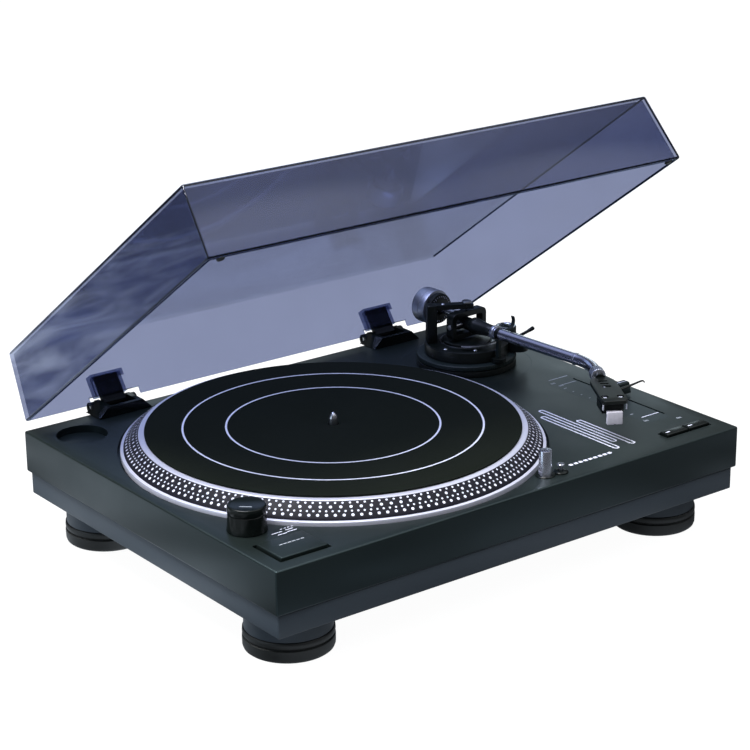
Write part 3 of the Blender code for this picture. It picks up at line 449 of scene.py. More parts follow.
# Plinth.
def plinth():
    platter_at, pivot_at = PLATTER_AT.xy, PIVOT_AT.xy
    recess_span, hole_span, slot_x = (-6, 6), (-12, 3), FADER_AT[0]
    shell, hollow, wells, through, panel, keys = new_shapes(6)
    add_box(shell, (-225, -175, -34.3), (225, 175, 0))
    add_box(hollow, (-221.5, -171.5, -40), (221.5, 171.5, -8))
    add_rod(wells, 169.3, (-4, 6), platter_at, steps=192)
    add_rod(wells, 20.5, recess_span, ADAPTER_AT, steps=80)
    add_plate(keys, rounded((-212.7, -163.2), (-168.3, -127.8), 1.2), recess_span)
    add_plate(keys, rounded((163.0, -158.5), (212.1, -146.5), 1.0), recess_span)
    add_rod(through, 66, hole_span, platter_at, steps=64)
    add_rod(through, 26.6, hole_span, pivot_at, steps=64)
    add_rod(through, 5.5, hole_span, LAMP_AT, steps=32)
    add_rod(through, 2.2, hole_span, LAMP_BUTTON_AT)
    add_plate(through, rounded((slot_x - 1, -117), (slot_x + 1, -7), 0.9), hole_span)
    add_box(panel, (-150, SOCKET_FACE, -31), (-20, 178, -10))
    mesh = carved(shell, [(CUT, tool) for tool in (hollow, wells, keys, through, panel)], 1.6, 4)
    put("plinth_shell", mesh, BLACK, stands_for="top_shell")

    tray, hollow, collars, pockets = new_shapes(4)
    add_box(tray, (-222.3, -172.3, TRAY_BOTTOM), (222.3, 172.3, -34.6))
    add_box(hollow, (-218.3, -168.3, -49.2), (218.3, 168.3, -30))
    for x, y in feet_at():
        add_rod(collars, 32.8, (-69.5, -52.2), (x, y), steps=96)
        add_rod(pockets, 14, (-72, -59.5), (x, y), steps=32)
    mesh = carved(tray, [(CUT, hollow), (JOIN, collars), (CUT, pockets)], 1.3, 3)
    put("lower_tray", mesh, SLATE, stands_for="base_tray")
    screws = bmesh.new()
    corners = [(across * 205, along * 155) for across in (-1, 1) for along in (-1, 1)]
    for at in [*corners, (0, -150), (0, 150), (60, 0)]:
        add_screw(screws, 3.4, TRAY_BOTTOM, at, down=True)
    put("tray_screws", screws, STEEL)


def feet_at():
    return [(x, y) for y in (-126, 125) for x in (-181.4, 181.4)]


def feet():
    profile = [
        (0, -60.8), (12, -60.8), (12, -69.8), (33.2, -69.8), (33.7, -70.3), (33.9, -72.5), (33.7, -74.4),
        (33.0, -74.9), (32.6, -75.3), (32.6, -75.8), (33.2, -76.1), (33.9, -76.5), (34.0, -78), (33.9, -83.2),
        (33.3, -84.9), (32.2, -85.8), (31, -86), (26, -86), (25.4, -85.4), (22, -85.4), (21.4, -86), (0, -86),
    ]
    for (x, y), where in zip(feet_at(), ("front_left", "front_right", "rear_left", "rear_right")):
        foot_at = DECK @ shift(x, y)
        node = f"isolation_foot_{where}"
        put(f"foot_{where}", lathe(profile, 96), RUBBER, at=foot_at, stands_for=node, smooth=50)


# Platter.
SLOPE = ((152.7, 13.05), (163.6, 4.6))


def platter():
    profile = [
        (3.9, 13.5), (147.5, 13.5), (152.2, 13.5), *SLOPE, (164.5, 2.45), (166.2, 2.3),
        (166.8, 2.0), (167, 1.4), (167, -2.2), (166.6, -2.6), (163, -2.6), (160, 2.0), (145, 8.8), (16, 8.8),
        (14, 3.6), (3.9, 3.6),
    ]
    disc = lathe(profile, 256, ring=True, mats=[0] * 3 + [1] * 2 + [0] * 12)
    put("platter_disc", disc, [SILVER, BAND], "platter", PLATTER, "platter")

    # Four rows of low round dots on the slope; share is a row's place from its upper to its lower edge.
    dots, sides = bmesh.new(), 10
    (r0, z0), (r1, z1) = SLOPE
    lean = math.atan2(z0 - z1, r1 - r0)
    for share, count, size in ((0.12, 180, 0.86), (0.365, 133, 1.22), (0.62, 216, 0.83), (0.865, 160, 1.22)):
        radius, height = r0 + (r1 - r0) * share, z0 + (z1 - z0) * share
        for k in range(count):
            place = turn(360 * k / count, "Z") @ shift(radius, 0, height) @ Matrix.Rotation(lean, 4, "Y")
            ring = []
            for i in range(sides):
                angle = math.tau * i / sides
                point = Vector((size * math.cos(angle) * MM, size * math.sin(angle) * MM, 0.05 * MM))
                ring.append(dots.verts.new(place @ point))
            top = dots.verts.new(place @ Vector((0, 0, 0.16 * MM)))
            for i in range(sides):
                dots.faces.new((ring[i], ring[(i + 1) % sides], top))
    put("strobe_dots", dots, PRINT_AND_SHEEN, "platter", PLATTER, smooth=60)

    mat = lathe([
        (4.1, 13.8), (4.1, 15.2), (4.4, 15.38), (60, 15.4), (120, 15.4), (147.4, 15.38), (147.9, 15.1),
        (148, 14.6), (147.9, 14.0), (147.5, 13.8),
    ], 256, ring=True)
    cloth = put("slipmat_felt", mat, FELT, "platter", PLATTER, "slipmat")
    rings = bmesh.new()
    low, high, half = 15.36, 15.46, 0.75
    for radius in (118, 84):
        inner, outer = radius - half, radius + half
        add_turned(rings, [(inner, low), (inner, high), (outer, high), (outer, low)], 192, ring=True)
    put("mat_rings", rings, PRINT_AND_SHEEN, "platter", PLATTER)

    pin = lathe([
        (0, 25), (0.6, 24.9), (1.5, 24.2), (2.6, 22.4), (3.3, 20.8), (3.6, 19.4), (3.6, 15.8), (3.6, -28.5),
        (0, -28.5),
    ], 40)
    put("spindle_pin", pin, STEEL, "platter", PLATTER, "spindle")


# Controls.
def key_mesh(low, high, edge):
    """A key with rounded edges and a stem under its middle."""
    key, stem = new_shapes(2)
    add_box(key, (*low, KEY_BOTTOM), (*high, KEY_TOP))
    add_rod(stem, 2.8, (-14, -2.4), ((low[0] + high[0]) / 2, (low[1] + high[1]) / 2))
    return carved(key, [(JOIN, stem)], edge, 4)


def controls():
    mesh = key_mesh((-210.5, -161), (-170.5, -130), 0.9)
    put("start_key", mesh, BLACK, "start_stop_key", stands_for="start_stop_key")
    mark = bmesh.new()
    for k in range(6):
        x = -199 + 3.7 * k
        add_box(mark, (x, -142.6, MARK_ON_KEY[0]), (x + 2.8, -141.5, MARK_ON_KEY[1]))
    put("start_key_mark", mark, FAINT, "start_stop_key")
    for name, x0, x1, at in (("33", 164.5, 187.4, 169.0), ("45", 188.6, 210.6, 193.3)):
        mesh = key_mesh((x0, -157), (x1, -148), 0.8)
        put(f"key_{name}", mesh, GLOSS, f"speed_key_{name}", stands_for=f"speed_key_{name}")
        mark = bmesh.new()
        add_plate(mark, rounded((at - 2.2, -153.2), (at + 2.2, -151.8), 0.6, 3), MARK_ON_KEY)
        put(f"key_{name}_mark", mark, PRINT_AND_SHEEN, f"speed_key_{name}")

    tower_at = DECK @ shift(*TOWER_AT)
    facing = math.degrees(math.atan2(PLATTER_AT.y - TOWER_AT[1], PLATTER_AT.x - TOWER_AT[0]))
    tower_facing = tower_at @ turn(facing, "Z")
    tower, window = new_shapes(2)
    add_turned(tower, [
        (0, 13.6), (13.7, 13.6), (14.0, 13.2), (14.2, 8), (14.5, 3.5), (14.9, 1.4), (15, 0.6), (14.8, 0.3),
        (0, 0.3),
    ], 96)
    add_box(window, (11.3, -4, 5), (17.3, 4, 10))
    mesh = carved(tower, [(CUT, window)])
    put("strobe_tower_body", mesh, GLOSS, at=tower_facing, stands_for="strobe_tower")
    lens = bmesh.new()
    add_box(lens, (11.4, -3.8, 5.2), (12.4, 3.8, 9.8))
    put("strobe_lens", lens, LAMP, at=tower_facing, bevel=0.25)
    knob = lathe([
        (0, 19.55), (11.7, 19.6), (12.2, 19.75), (12.9, 20), (13.5, 19.9), (14.1, 19.4), (14.3, 18.6),
        (14.3, 14.4), (14.1, 13.9), (0, 13.9),
    ], 128)
    put("power_knob_cap", knob, GLOSS, "power_knob", tower_at, "power_knob", smooth=40)
    mark = bmesh.new()
    add_plate(mark, rounded((-4.6, -5.2), (4.6, -4.2), 0.5, 3), (19.52, 19.64), turn(-42, "Z"))
    put("power_knob_mark", mark, FAINT, "power_knob", tower_at)

    lamp, lens, top = new_shapes(3)
    add_turned(lamp, [(0, 20.5), (4.2, 20.5), (4.7, 20.3), (5, 19.8), (5, -28), (0, -28)], 64)
    add_rod(lens, 1.8, (0, 7), (0, 16.5), "Y", 24)
    add_rod(top, 2.4, (20.1, 22), steps=24)
    lamp_at = DECK @ shift(*LAMP_AT) @ turn(35, "Z")
    mesh = carved(lamp, [(CUT, lens), (CUT, top)])
    put("target_lamp", mesh, ALLOY, "target_light", lamp_at, "target_light")
    bulb = lathe([(0, 1.6), (0.9, 1.3), (1.4, 0.5), (1.5, 0), (0, 0)], 20, shift(0, 2.4, 16.5) @ BACKWARD)
    put("target_lamp_bulb", bulb, SIGNAL_WHITE, "target_light", lamp_at)
    profile = [(5.3, 0.05), (5.3, 0.8), (5.6, 1.0), (7.4, 0.9), (7.9, 0.5), (8, 0.05)]
    put("target_lamp_collar", lathe(profile, 64, ring=True), GLOSS, at=lamp_at)
    button_at = DECK @ shift(*LAMP_BUTTON_AT)
    profile = [(0, 7.0), (1.8, 7.15), (2.6, 7.1), (3, 6.7), (3, 6.1), (1.5, 5.8), (1.5, -14), (0, -14)]
    put("lamp_button", lathe(profile, 40), ALLOY, "light_button", button_at, "light_button")
    profile = [(1.9, 0.05), (1.9, 1.6), (2.4, 2.0), (5.0, 1.6), (5.9, 0.9), (6.1, 0.05)]
    put("lamp_button_bezel", lathe(profile, 48, ring=True), GLOSS, at=button_at)

    fader_at = DECK @ shift(*FADER_AT)
    fader, blade, ribs = new_shapes(3)
    add_box(fader, (-11, -5, 1.5), (11, 5, 11), (1.0, 1.6))
    add_box(blade, (-0.7, -4, -14), (0.7, 4, 2.5))
    for k in (-2.4, -1.3, 1.3, 2.4):
        add_box(ribs, (-12, k - 0.25, 10.4), (12, k + 0.25, 12))
    mesh = carved(fader, [(JOIN, blade), (CUT, ribs)], 0.8, 3)
    put("fader_cap", mesh, BLACK, "pitch_fader", fader_at, "pitch_fader")
    mark = bmesh.new()
    add_box(mark, (-9.4, -0.35, 10.9), (9.4, 0.35, 11.08))
    put("fader_mark", mark, PRINT_AND_SHEEN, "pitch_fader", fader_at)


def printing():
    """Plain marks on the top face: scale ticks, bars and rounded stripes, with no lettering."""
    white, faint, panel = new_shapes(3)

    def bar(bm, low, high, round_by=0.35):
        add_plate(bm, rounded(low, high, round_by, 3), PRINT_SPAN)

    # Ticks beside the pitch fader, and the lines and small groups of dashes round its slot.
    tick_x = 178.3
    for k in range(9):
        y = -21.5 - 10 * k
        half = 1.7 if k % 4 == 0 else 0.9
        bar(faint, (tick_x - half, y - 0.45), (tick_x + half, y + 0.45))
    bar(faint, (180.0, 0.9), (201.0, 1.9))
    bar(faint, (180.7, -13.7), (197.3, -12.8))
    bar(white, (179.5, -112.3), (198.4, -111.3))
    for x, y in ((178.2, -6.2), (180, -14.2), (177.2, -119.4), (202.4, -130.9)):
        for part in (-1.6, 0, 1.6):
            bar(faint, (x + part - 0.5, y - 1.4), (x + part + 0.4, y + 1.2), 0.25)
    # Short lines beside the strobe tower.
    lines = ((-190, -181, -119.5), (-187, -179, -123.5), (-178, -170, -122.5), (-177.5, -171, -119.0))
    for x0, x1, y in lines:
        bar(white, (x0, y - 0.4), (x1, y + 0.4))
    for k in range(4):
        bar(white, (-180 + 3.2 * k, -116.3), (-178.2 + 3.2 * k, -115.5), 0.2)
    # Three parallel rounded stripes and a dashed line.
    for x, low, high in ((118, -150, -60), (126.5, -138, -48), (135, -150, -84)):
        outline = rounded((x - 2.8, low), (x + 2.8, high), 2.7, 8)
        inner = rounded((x - 1.4, low + 1.4), (x + 1.4, high - 1.4), 1.35, 8)
        add_frame(white, outline, inner, PRINT_SPAN)
    for k in range(9):
        bar(white, (64 + 5 * k, -154.6), (67.4 + 5 * k, -151.6), 0.5)
    # A thin ring round the arm's base, and the darker field of the pitch scale.
    profile = [(56.1, -0.04), (56.1, 0.03), (56.8, 0.03), (56.8, -0.04)]
    add_turned(panel, profile, 128, shift(*PIVOT_AT.xy), ring=True)
    add_plate(panel, rounded((173.5, -124.5), (199.0, -3.5), 1.0, 3), (-0.04, 0.02))
    put("white_marks", white, PRINT_AND_SHEEN)
    put("faint_marks", faint, FAINT)
    put("scale_field", panel, PANEL)


# Tonearm.
def arm_column():
    profile = [(26.6, 0.3), (26.6, 5.5), (42.0, 5.5), (42.8, 5.1), (43, 4.6), (43, 0.8), (42.6, 0.3)]
    put("arm_base_ring", lathe(profile, 128, ring=True), SATIN, at=PIVOT, stands_for="tonearm_base")
    ring = lathe([
        (26.6, 5.8), (26.6, 10), (41.6, 10), (42.6, 9.6), (43, 9.1, 0.5), (43, 6.6, 0.5), (42.6, 6.0),
        (42.0, 5.8),
    ], 480, ring=True, ribs=120)
    put("arm_height_ring", ring, GREY, "height_ring", PIVOT, "height_ring", smooth=45)

    plate = lathe([
        (0, 22.3), (20.2, 22.3), (21, 21.8), (21, 20), (34.8, 20), (35.7, 19.6), (36, 18.9), (36, 10.3),
        (26, 10.3), (26, -14), (0, -14),
    ], 128)
    dial, cue, rest, step, hole = new_shapes(5)
    add_rod(dial, 11, (10.7, 19.4), SKATE_AT, steps=48)
    add_rod(cue, 9, (11.1, 18.8), CUE_AT, steps=48)
    angle = math.radians(ARM_TURN)
    rest_at = (REST_REACH * math.sin(angle), -REST_REACH * math.cos(angle))
    add_rod(rest, 6.5, (10.9, 14), rest_at, steps=32)
    add_plate(step, arc((0, 0), 28.5, 18, 122, 32) + arc((0, 0), 40, 122, 18, 32), (12, 26))
    add_rod(hole, 1.9, (11.7, 30), PISTON_AT, steps=20)
    lobes = [(JOIN, lobe) for lobe in (dial, cue, rest)]
    mesh = carved(plate, [*lobes, (CUT, step), (CUT, hole)])
    put("arm_plate_body", mesh, SATIN, "arm_column", PIVOT, "arm_plate", smooth=40)
    details = bmesh.new()
    add_screw(details, 2.0, 18.9, CUE_AT)
    for x, y in ((-12, -26), (-30, -8), (26, 8)):
        add_screw(details, 1.9, 20.1, (x, y))
    add_turned(details, [(22.2, 20), (22.2, 20.5), (23.2, 20.5), (23.2, 20)], 96, ring=True)
    put("arm_plate_screws", details, STEEL, "arm_column", PIVOT)

    post_x, post_y = -27, 14.5
    reach = math.hypot(post_x, post_y)
    bracket_at = PIVOT @ turn(math.degrees(math.atan2(post_y, post_x)), "Z")
    post, beam, hole = new_shapes(3)
    add_box(post, (reach - 4.5, -4.5, 20.3), (reach + 4.5, 4.5, 54))
    add_box(beam, (-5.5, -4.0, 49.5), (reach, 4.0, 53.6))
    add_rod(hole, 3.0, (46, 57))
    mesh = carved(post, [(JOIN, beam), (CUT, hole)], 1.4, 4)
    put("bracket", mesh, SATIN, "arm_column", bracket_at, "arm_bracket")
    screws = bmesh.new()
    add_screw(screws, 1.7, 53.6, (reach - 10, 0))
    add_box(screws, (-4.9, -3.5, 53.5), (-3.9, 3.5, 53.75))
    put("bracket_screw", screws, STEEL, "arm_column", bracket_at)
    top, slot = new_shapes(2)
    add_turned(top, [
        (0, 55.8), (3.4, 55.8), (3.9, 55.6), (4.2, 55.1), (4.2, 54.3), (2.6, 54.3), (2.6, 49.1), (0.8, 47.8),
        (0, 47.8),
    ], 40)
    add_box(slot, (-5, -0.45, 55.1), (5, 0.45, 57))
    mesh = carved(top, [(CUT, slot)])
    put("bearing_screw", mesh, STEEL, "arm_column", PIVOT, "top_bearing_screw")

    skate_at = PIVOT @ shift(*SKATE_AT)
    dial = lathe([
        (0, 27.6), (6.0, 27.6), (6.6, 28.2), (7.6, 28.4), (8.6, 28.1), (9, 27.4, 0.35), (9, 21.2, 0.35),
        (8.7, 20.6), (8.4, 20.3), (0, 20.3),
    ], 240, ribs=40, mats=[0] + [1] * 3 + [0] * 5)
    add_box(dial, (-1.2, -6.4, 27.4), (1.2, 6.4, 29), (0.3, 0.6))
    put("skate_dial", dial, [GREY, ALLOY], "antiskate_dial", skate_at, "antiskate_dial", smooth=40)
    ticks = bmesh.new()
    for k in range(9):
        place = turn(20 + 34 * k, "Z")
        add_box(ticks, (9.5, -0.25, 19.36), (10.7, 0.25, 19.48), matrix=place)
    put("skate_scale", ticks, PRINT_AND_SHEEN, "arm_column", skate_at)


def cueing():
    bar = bmesh.new()
    outline = arc((0, 0), 30.5, -138, -40, 28) + arc((0, 0), 27, -40, -138, 28)
    add_plate(bar, outline, (23.0, 24.2))
    add_rod(bar, 1.5, (12, 23.2), PISTON_AT, steps=20)
    add_plate(bar, arc((0, 0), 29.7, -137, -41, 28) + arc((0, 0), 27.8, -41, -137, 28), (24.15, 24.6), mat=1)
    put("cue_bar", bar, [STEEL, RUBBER], "cue_platform", PIVOT, "cue_platform", bevel=0.2)
    lever = bmesh.new()
    path = [
        (0, 0, 0), (2, 0, 0.8), (4, 0, 1.6), (6.5, 0, 2.6), (9, 0, 3.6), (12, 0, 4.95), (14.2, 0, 6.0),
        (15, 0, 6.4),
    ]
    add_pipe(lever, path, [1.5, 1.5, 1.4, 1.35, 1.4, 1.75, 1.85, 1.2], 20)
    add_rod(lever, 2.3, (-3.5, 3.5), (0, 0), "Y", 32)
    lever_at = PIVOT @ shift(*CUE_AT, 22.6) @ turn(-16.2, "Z")
    put("cue_handle", lever, GLOSS, "cue_lever", lever_at, "cue_lever", smooth=45)

    rest_at = PIVOT @ turn(ARM_TURN, "Z") @ shift(0, -REST_REACH, 0)
    cradle, post = new_shapes(2)
    inner, outer = 5.4, 7.0
    flat = shift(0, 0, ARM_Z) @ FORWARD
    add_plate(cradle, arc((0, 0), outer, -115, -8, 20) + arc((0, 0), inner, -8, -115, 20), (-1.7, 1.7), flat)
    add_box(post, (-1.6, -1.6, 14.3), (1.6, 1.6, ARM_Z - inner - 0.6))
    mesh = carved(cradle, [(JOIN, post)])
    put("rest_cradle", mesh, GREY, "arm_column", rest_at, "arm_rest", bevel=0.25)
    clip = bmesh.new()
    swung = shift(outer + 0.9, 0, ARM_Z + 0.6) @ turn(115, "Y") @ FORWARD
    middle = (-outer - 0.9, -0.6)
    outline = arc(middle, inner + 1.9, 14, 150, 28) + arc(middle, inner + 0.7, 150, 14, 28)
    add_plate(clip, outline, (-1.7, 1.7), swung)
    put("clip", clip, GREY, "rest_clip", rest_at, "rest_clip", bevel=0.2)


def bend_path(start, reach, steps=28):
    """Centre line of the arm tube from a distance before the pivot to a distance past the bend's corner."""
    tangent = BEND_AT - BEND_RADIUS * math.tan(math.radians(BEND_ANGLE) / 2)
    points = [(0, -start - (tangent - start) * i / 6, 0) for i in range(6)]
    for i in range(steps + 1):
        angle = math.radians(BEND_ANGLE) * i / steps
        points.append((BEND_RADIUS * (math.cos(angle) - 1), -tangent - BEND_RADIUS * math.sin(angle), 0))
    angle = math.radians(BEND_ANGLE)
    points.append((-reach * math.sin(angle), -BEND_AT - reach * math.cos(angle), 0))
    return points


def arm():
    ring, hole, pins = new_shapes(3)
    low, high = 24.0 - ARM_Z, 47.5 - ARM_Z
    add_plate(ring, rounded((-20, low), (20, high), 5.2, 10), (-4, 4), FORWARD)
    add_plate(hole, rounded((-15, low + 4.5), (15, high - 5), 2.4, 8), (-6, 6), FORWARD)
    mesh = carved(ring, [(CUT, hole)])
    put("gimbal", mesh, SATIN, "arm_yoke", ARM, "gimbal_ring", bevel=0.5, segments=3)
    profile = [(0, 20.7), (1.6, 20.7), (2.2, 20.3), (2.4, 19.5), (0, 19.5)]
    for side in (-1, 1):
        add_rod(pins, 1.5, sorted((side * 5.9, side * 16)), (0, 0), "X", 24)
        add_turned(pins, profile, 32, turn(side * 90, "Y"))
    put("gimbal_pins", pins, STEEL, "arm_yoke", ARM)

    boss = lathe([
        (0, 33), (4.9, 33), (5.2, 32.6), (5.4, 27), (5.8, 22), (6.4, 17.5), (7.0, 13.4), (7.2, 12.6),
        (7.2, 9.6), (6.9, 8.8), (5.5, 6.2), (5.5, -5.6), (7.8, -8.4), (8.2, -9.2), (8.2, -13.4), (7.8, -14),
        (0, -14),
    ], 48, FORWARD)
    put("boss", boss, SATIN, "tonearm", ARM, "arm_boss", smooth=40)
    collar = lathe([
        (0, 37), (5.4, 37), (5.9, 36.6), (6.0, 36.2), (6.0, 34.1), (5.9, 33.7), (5.5, 33.3), (0, 33.3),
    ], 48, FORWARD)
    put("collar", collar, ALLOY, "tonearm", ARM, "arm_collar", smooth=40)
    tube = bmesh.new()
    add_pipe(tube, bend_path(37.3, 20.0), 4.7, 40)
    put("tube", tube, CHROME, "tonearm", ARM, "arm_tube", smooth=60)
    bands = lathe([(4.5, 38.4), (4.85, 38.4), (4.85, 42.6), (4.5, 42.6)], 48, FORWARD, ring=True)
    put("tube_band", bands, SATIN, "tonearm", ARM)
    joint = lathe([(4.6, 128.6), (5.15, 128.9), (5.15, 130.7), (4.6, 131.0)], 48, FORWARD, ring=True)
    put("tube_joint", joint, ALLOY, "tonearm", ARM)
    stub = lathe([(0, -14.3), (3, -14.3), (3, -59.2), (2.5, -60), (0, -60)], 40, FORWARD)
    put("stub", stub, STEEL, "tonearm", REAR_ARM, "rear_stub")

    weight = lathe([
        (5.2, -38), (14.6, -38), (15.2, -38.3), (15.5, -39), (15.5, -44.6), (15.2, -44.9), (15.2, -45.5),
        (15.5, -45.8), (15.5, -52.2), (15.1, -53.3), (14.2, -54), (10.5, -54), (10, -53.3), (5.2, -53.3),
    ], 128, FORWARD, ring=True)
    put("weight", weight, CAST, "counterweight", REAR_ARM, "counterweight")
    sleeve = lathe([(3.3, -38), (4.9, -38), (4.9, -52), (3.3, -52)], 40, FORWARD, ring=True)
    put("sleeve", sleeve, RUBBER, "weight_sleeve", REAR_ARM, "weight_sleeve")
    dial = lathe([
        (5.2, -33), (12.4, -33), (13.1, -33.3), (13.4, -34, 0.3), (13.4, -37.2, 0.3), (13.2, -37.7),
        (5.2, -37.7),
    ], 240, FORWARD, ring=True, ribs=60)
    put("dial", dial, SATIN, "counterweight_dial", REAR_ARM, "counterweight_dial", smooth=40)
    ticks = bmesh.new()
    for k in range(30):
        size = 2.4 if k % 5 == 0 else 1.4
        add_box(ticks, (11.6 - size, -0.2, -33.1), (11.6, 0.2, -32.95), matrix=FORWARD @ turn(12 * k, "Z"))
    put("dial_scale", ticks, PRINT_AND_SHEEN, "counterweight_dial", REAR_ARM)


def headshell():
    nut = lathe([
        (0, 31), (5.3, 31), (5.9, 30.6), (6.2, 29.9, 0.45), (6.2, 22.4, 0.45), (5.9, 21.3), (5.3, 20.5),
        (4.8, 20.3), (0, 20.3),
    ], 192, FORWARD, ribs=24)
    put("nut", nut, ALLOY, "locking_nut", HEAD, "locking_nut", smooth=45)

    start, end, half = 31.3, 93.4, 10.5
    right = [
        (5, -start - 2), (half - 1, -start - 12), (half, -start - 16), (half, -end + 3), (half - 2.5, -end),
    ]
    outline = [(-5, -start - 2), *right, *[(-x, y) for x, y in right[:0:-1]]]
    shell, slots, neck, dish = new_shapes(4)
    add_plate(shell, outline, (-1.5, 1.5))
    for low in (-start - 16.5, -start - 22.5):
        add_plate(slots, rounded((-3.6, low), (3.6, low + 2.5), 1.0, 4), (-4, 4))
    for side in (-1, 1):
        add_rod(slots, 3.1, (-4, 4), (side * 6.2, -end + 11), steps=32)
    add_rod(neck, 4.4, (-start - 6, -start), (0, -0.5), "Y", 40)
    add_plate(dish, rounded((-3.4, -start - 29.6), (4.4, -start - 25.6), 1.9, 6), (-0.6, 3))
    mesh = carved(shell, [(CUT, slots), (JOIN, neck), (CUT, dish)], 0.5, 3)
    put("shell", mesh, SATIN, "tonearm", HEAD, "headshell")
    screws = bmesh.new()
    profile = [(0, 0.6), (1.7, 0.5), (2.3, 0.0), (2.4, -0.9), (0, -0.9)]
    for side in (-1, 1):
        add_turned(screws, profile, 32, shift(side * 6.2 + 0.2, -end + 10.6))
        add_rod(screws, 0.6, (-6.2, -2.3), (side * 9.2, -end + 2.2))
    profile = [(0, 0.9), (1.0, 0.8), (1.5, 0.2), (1.6, -0.7), (0, -0.7)]
    add_turned(screws, profile, 24, shift(-1.3, -start - 27.8))
    # The screws take the pale print colour, a painted sheen that makes them look bright white.
    put("shell_screws_painted_sheen", screws, PRINT_AND_SHEEN, "tonearm", HEAD, smooth=50)

    lift = bmesh.new()
    path = [
        (half + 0.2, -62.2, -0.4), (12.5, -61.4, -0.2), (15, -60, 0), (18.5, -58.3, 0.5), (22, -56.5, 1.0),
        (25, -55.0, 1.5), (28, -53.5, 2.0), (30, -52.6, 2.25), (31.3, -52.1, 2.1), (32.1, -51.8, 1.4),
        (32.5, -51.6, 0.4),
    ]
    add_pipe(lift, path, [1.5, 1.6, 1.5, 1.4, 1.25, 1.15, 1.1, 1.1, 1.05, 0.95, 0.6], 14, flat=0.6)
    put("lift", lift, GLOSS, "tonearm", HEAD, "finger_lift", smooth=60)

    body, step = new_shapes(2)
    add_box(body, (-8, -88.4, -13.5), (8, -61.4, -2.3))
    add_box(step, (-9, -95, -15), (9, -80, -9.5))
    mesh = carved(body, [(CUT, step)], 0.8, 3)
    put("cartridge_body", mesh, GLOSS, "tonearm", HEAD, "cartridge")
    extras = bmesh.new()
    for x in (-5.2, -1.8, 1.8, 5.2):
        add_rod(extras, 0.5, (-61.6, -57.5), (x, -4.8), "Y", 10)
    put("cartridge_pins", extras, ALLOY, "tonearm", HEAD)
    stylus = bmesh.new()
    add_pipe(stylus, [(0, -80.2, -11), (0, -86, -13.2), (0, -89, -14.2)], [0.5, 0.4, 0.3], 10)
    add_turned(stylus, [(0.35, 0), (0, -1.2)], 8, shift(0, -88.8, -14.3))
    put("stylus", stylus, ALLOY, "tonearm", HEAD)

    guard, cut = new_shapes(2)
    add_box(guard, (-6.3, -93.0, -18.5), (6.3, -88.7, -7.6))
    add_rod(cut, 0.9, (-96, -86), (0, -18.6), "Y", 24)
    put("guard", carved(guard, [(CUT, cut)], 0.9, 4), GUARD, "tonearm", HEAD, "stylus_guard")


# Dust cover and hinges.
def cover():
    half, depth, height, wall, draft = 223.8, 340.2, 58.0, 3.0, 4.6
    slope = draft / height
    lid, hollow, pockets, spaces, notches = new_shapes(5)
    add_box(lid, (-half, -depth, 0), (half, 0, height), (draft, draft))
    below, inside = 2.0, height - wall
    edge = wall - slope * below
    taper = slope * (inside + below)
    add_box(hollow, (edge - half, edge - depth, -below), (half - edge, -edge, inside), (taper, taper))
    for side in (-1, 1):
        x = side * HINGE_X
        add_box(pockets, (x - 15, -1.5, 6.5), (x + 15, 7.6, 25))
        add_box(spaces, (x - 13, -0.2, 0), (x + 13, 5.6, 23.4))
        add_box(notches, (x - 24, -5.4, -2), (x + 24, 2, 6))
    cuts = [(CUT, hollow), (CUT, notches), (JOIN, pockets), (CUT, spaces)]
    # The rounded edges take the second look, the darker acrylic, as painted shade for the dark look of the
    # cover's edges.
    mesh = carved(lid, cuts, 2.0, 4, 1)
    # The rim, which faces down, also takes the darker acrylic: painted shade for the dark look of an edge.
    for face in mesh.polygons:
        if face.normal.z < -0.9 and face.center.z < 7 * MM:
            face.material_index = 1
    put("dust_cover", mesh, [SMOKE, SMOKE_EDGE_SHADE], "cover", COVER, "cover")
    # Thin dark bars along the cover's edges and corners: painted shade for the dark lines that the acrylic's
    # edges show.
    edge_shade = bmesh.new()
    inset, top = 1.3, 1.3
    low = [(side * (half - inset), y, top) for side in (-1, 1) for y in (-depth + inset, -inset)]
    inset_high = draft + inset
    high = [
        (side * (half - inset_high), y, height - inset)
        for side in (-1, 1) for y in (-depth + inset_high, -inset_high)
    ]
    for ends in (low, high):
        for a, b in ((0, 1), (2, 3), (0, 2)):
            add_pipe(edge_shade, [ends[a], ends[b]], 0.75, 10)
    for a in (0, 2):
        add_pipe(edge_shade, [low[a], high[a]], 0.75, 10)
    put("cover_edge_shade", edge_shade, SMOKE_EDGE_SHADE, "cover", COVER, smooth=60)
    pads = bmesh.new()
    profile = [(0, -1.4), (2.4, -1.4), (3.0, -0.9), (3.2, 0), (0, 0)]
    for side in (-1, 1):
        add_turned(pads, profile, 32, shift(side * 212, -depth + 3.4, 0))
    put("cover_pads", pads, RUBBER, "cover", COVER)


